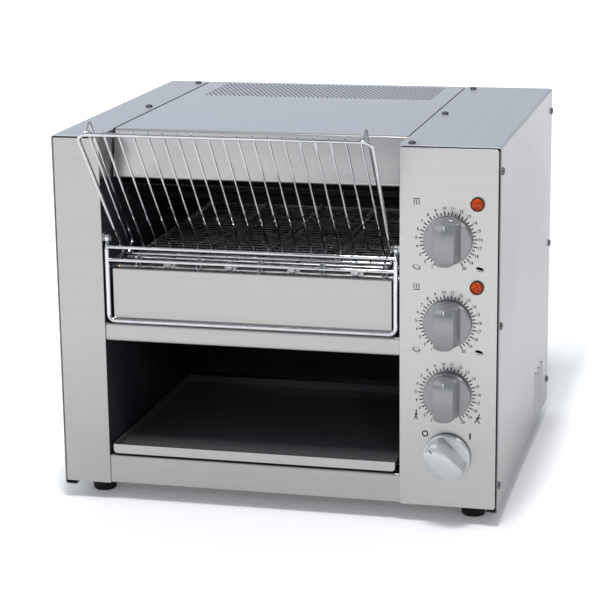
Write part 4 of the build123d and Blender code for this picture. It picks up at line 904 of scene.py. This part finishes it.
def tick(bm, face, angle, inner, outer):
    """Scale mark at an angle clockwise from the top."""
    place = face @ Matrix.Rotation(-angle, 4, "Z") @ Matrix.Translation((0, (inner + outer) / 2, 0))
    bmesh.ops.create_cube(bm, size=1.0, matrix=place @ Matrix.Diagonal((TICK_W, outer - inner, INK, 1.0)))


def number(bm, face, text, x, y):
    """Printed number centred on a point of the fascia."""
    curve = bpy.data.curves.new("number", "FONT")
    curve.body = text
    curve.size = NUMBER_SIZE
    curve.align_x = "CENTER"
    curve.align_y = "CENTER"
    curve.extrude = INK / 2
    curve.offset = NUMBER_BOLD
    curve.resolution_u = 3
    writing = bpy.data.objects.new("number", curve)
    shape = bpy.data.meshes.new_from_object(writing)
    place_copy(bm, shape, face @ Matrix.Translation((x, y, 0)))
    bpy.data.objects.remove(writing)
    bpy.data.curves.remove(curve)
    bpy.data.meshes.remove(shape)


def stroke(bm, face, points, radius, bend=0.5 * MM):
    """Printed line through flat points."""
    known = set(bm.verts)
    draw_wire(bm, [Vector((x * MM, y * MM, 0)) for x, y in points], radius, [bend] * (len(points) - 2), STROKE_SIDES)
    made = [vert for vert in bm.verts if vert not in known]
    bmesh.ops.transform(bm, matrix=face @ Matrix.Diagonal((1, 1, INK / radius, 1)), verts=made)


def disc(bm, face, x, y, wide, high, tilt=0.0, hollow=0.0):
    """Printed ellipse, filled or as an outline."""
    place = moved(face, x, y) @ Matrix.Rotation(tilt, 4, "Z") @ Matrix.Diagonal((wide * MM, high * MM, 1, 1))
    known = set(bm.verts)
    ring = bmesh.ops.create_circle(bm, segments=DISC_SIDES, radius=1.0, cap_ends=not hollow)["verts"]
    if hollow:
        pull(bm, list({edge for vert in ring for edge in vert.link_edges}), (0, 0, 0), hollow)
    flat = list({side for vert in bm.verts if vert not in known for side in vert.link_faces})
    bmesh.ops.recalc_face_normals(bm, faces=flat)
    bmesh.ops.solidify(bm, geom=flat, thickness=INK)
    bmesh.ops.transform(bm, matrix=place, verts=[vert for vert in bm.verts if vert not in known])


def dial_scale(bm, face):
    """Ticks and the numbers 1 to 20 round a knob."""
    for i in range(2 * DIAL_STEPS - 1):
        angle = DIAL_SPAN * (i / (2 * DIAL_STEPS - 2) - 0.5)
        if i % 2:
            tick(bm, face, angle, TICK_INNER, HALF_TICK_OUTER)
        else:
            tick(bm, face, angle, TICK_INNER, TICK_OUTER)
            number(bm, face, str(i // 2 + 1), NUMBER_R * sin(angle), NUMBER_R * cos(angle))


def heat_sign(bm, face, bar):
    """Three rising waves with a bar above or below them."""
    for x in (-2.6, 0.0, 2.6):
        stroke(bm, face, [(x + 0.4, -2.4), (x - 0.5, -1.0), (x + 0.5, 0.8), (x - 0.4, 2.4)], WAVE_STROKE)
    stroke(bm, face, [(-3.2, bar), (3.2, bar)], BAR_STROKE)


def slice_signs(bm, face):
    """A pale slice on the left and a dark one on the right of a heat dial."""
    disc(bm, face, -32.4, -28.4, 4.0, 1.9, radians(-14), hollow=0.78)
    pale_crust = [(-36.2, -28.1), (-34.4, -30.9), (-30.5, -31.8), (-28.5, -29.9)]
    stroke(bm, face, pale_crust, CRUST_STROKE, CRUST_BEND)
    disc(bm, face, 32.6, -28.3, 4.0, 1.5, radians(-16))
    dark_crust = [(28.8, -27.9), (30.6, -30.5), (34.4, -31.5), (36.4, -29.9)]
    stroke(bm, face, dark_crust, CRUST_STROKE, CRUST_BEND)


def walker(bm, face, lean, stride):
    """Walking or running figure."""
    tip = (2.2 * lean, 4.6)
    hip = (0.0, -0.6)
    chest = (1.4 * lean, 2.6)
    disc(bm, face, tip[0] + 0.6 * lean, tip[1] + 0.9, 1.2, 1.2)
    stroke(bm, face, [hip, (tip[0], 3.2)], TRUNK_STROKE)
    stroke(bm, face, [hip, (1.0 * stride, -2.6), (1.7 * stride, -5.0)], LEG_STROKE)
    stroke(bm, face, [hip, (-0.9 * stride, -2.6), (-2.0 * stride, -4.8)], LEG_STROKE)
    stroke(bm, face, [chest, (chest[0] + 1.0 * stride, 1.0), (chest[0] + 2.0 * stride, 1.3)], ARM_STROKE)
    stroke(bm, face, [chest, (chest[0] - 1.2 * stride, 1.2), (chest[0] - 2.0 * stride, 0.2)], ARM_STROKE)


prints = bmesh.new()
for joint_name, bar in (("upper_heat_turn", HEAT_BAR), ("lower_heat_turn", -HEAT_BAR)):
    face = ink_face(joint_name)
    dial_scale(prints, face)
    slice_signs(prints, face)
    heat_sign(prints, moved(face, *HEAT_SIGN_AT), bar)
face = ink_face("speed_turn")
dial_scale(prints, face)
walker(prints, moved(face, *WALKER_AT) @ FIGURE_SIZE, lean=0.15, stride=1.0)
walker(prints, moved(face, *RUNNER_AT) @ FIGURE_SIZE, lean=0.9, stride=1.5)
face = ink_face("power_turn")
disc(prints, face, -23.0, 23.4, 3.4, 3.4, hollow=0.62)
stroke(prints, face, [(24.0, 20.6), (24.0, 25.8)], ON_STROKE)
finish_piece("fascia_prints", prints, "black_ink", "casing", "black_plastic")

# Studio floor: dark to the light that falls on it, and pale where it is seen, less so close to the part

FLOOR_HALF = 60.0

floor_grid = bmesh.new()
bmesh.ops.create_grid(floor_grid, x_segments=1, y_segments=1, size=FLOOR_HALF)
floor = put_in_scene("studio_floor", made_mesh("studio_floor", floor_grid))
paper = Finish("studio_paper", Roughness=0.9, Specular_IOR_Level=0.1, Emission_Strength=1.0)
rays = [paper.node("LightPath", {}, out=ray) for ray in ("Is Camera Ray", "Is Glossy Ray", "Is Transmission Ray")]
seen = paper.band(rays[0] + rays[1] + rays[2], 0, 1)
away = paper.node("VectorMath", {"operation": "LENGTH"}, paper.place, out="Value")
sideways = paper.node("Math", {"operation": "ABSOLUTE"}, paper.along(paper.place, "X"))
backward = paper.along(paper.place, "Y")
# Painted light: the floor beside and behind the casing glows brighter, washing out the casing's wide shadow there,
# also in the side covers' reflections; a little glow by the part lightens its shadow
painted_light_beside = paper.band(sideways, 0.24, 0.30, 0.0, 0.60) * paper.band(backward, -0.40, -0.20)
ahead = paper.band(away, 0.50, 0.95, 0.09, 0.45)
far_off = paper.band(away, 1.2, 3.0, 0.0, 0.35)
glow = seen * (painted_light_beside.larger(ahead) + far_off)
paper.feed(Base_Color=paper.mix_colour(seen, rgb(0.40, 0.40, 0.40), rgb(0.96, 0.96, 0.96)),
           Emission_Color=paper.mix_colour(glow, rgb(0, 0, 0), rgb(1, 1, 1)))
floor.data.materials.append(paper.material)


# Lights, world and camera

def softbox(name, place, aim, size, power):
    """Rectangular soft light."""
    lamp = bpy.data.lights.new(name, "AREA")
    lamp.shape = "RECTANGLE"
    lamp.size, lamp.size_y = size
    lamp.energy = power
    light = put_in_scene(name, lamp)
    light.location = place
    light.rotation_euler = (Vector(aim) - Vector(place)).to_track_quat("-Z", "Y").to_euler()


softbox("top_light", (0.20, -1.0, 2.3), aim=(0, -0.1, 0.2), size=(0.5, 0.5), power=30)
softbox("left_light", (-1.9, -1.2, 1.7), aim=(0, 0, 0.2), size=(1.3, 1.5), power=4)
softbox("front_light", (-0.90, -2.2, 0.95), aim=(0, 0, 0.3), size=(1.1, 1.0), power=4.6)
softbox("right_spark", (0.86, -1.95, 0.96), aim=(0.2, -0.17, 0.3), size=(0.2, 0.2), power=2.8)

LIT_SIDE = (-0.75, 0.25, 0.61)
ROOM_DARK = rgb(0.20, 0.21, 0.23)
ROOM_LIT = rgb(0.83, 0.91, 1.04)
OVERHEAD = rgb(0.56, 0.57, 0.58)
HORIZON = rgb(0.95, 0.95, 0.96)
ROOM_FRONT = rgb(0.20, 0.23, 0.30)

world = bpy.data.worlds.new("studio_world")
bpy.context.scene.world = world
world.use_nodes = True
sky = Nodes(world.node_tree)
bearing = sky.node("TexCoord", {}, out="Generated")
rise = sky.along(bearing, "Z")
behind = sky.along(bearing, "Y")
lit = sky.node("VectorMath", {"operation": "DOT_PRODUCT"}, bearing, LIT_SIDE, out="Value")
room = sky.mix_colour(sky.band(lit, -0.5, 0.7), ROOM_DARK, ROOM_LIT)
room = sky.mix_colour(sky.band(rise, 0.40, 0.85), room, OVERHEAD)
room = sky.mix_colour(sky.band(rise, 0.02, 0.22), HORIZON, room)
room = sky.mix_colour(sky.band(behind, -0.75, -0.25), ROOM_FRONT, room)
sky.join(room, world.node_tree.nodes["Background"].inputs["Color"])

# The photo's camera, solved from the casing's edges
AZIMUTH = radians(14.0888)
ELEVATION = radians(14.4313)
ROLL = radians(-0.7694)
CAMERA_PLACE = (0.515626, FRONT - 1.959247, BASE + 0.720876)
FOCAL_LENGTH = 120.358
SENSOR = 36.0
SHIFT = (0.00791, 0.02528)

toward = Vector((sin(AZIMUTH) * cos(ELEVATION), -cos(AZIMUTH) * cos(ELEVATION), sin(ELEVATION)))
right = Vector((cos(AZIMUTH), sin(AZIMUTH), 0))
above = toward.cross(right)
level = cos(ROLL) * right + sin(ROLL) * above
upright = cos(ROLL) * above - sin(ROLL) * right
lens = bpy.data.cameras.new("photo_camera")
lens.sensor_width = SENSOR
lens.lens = FOCAL_LENGTH
lens.shift_x, lens.shift_y = SHIFT
lens.dof.use_dof = False
camera = put_in_scene("photo_camera", lens)
camera.matrix_world = (Matrix.Translation(CAMERA_PLACE)
                       @ Matrix((level, upright, toward)).transposed().to_4x4())
bpy.context.scene.camera = camera
bpy.context.scene.view_settings.view_transform = "Standard"
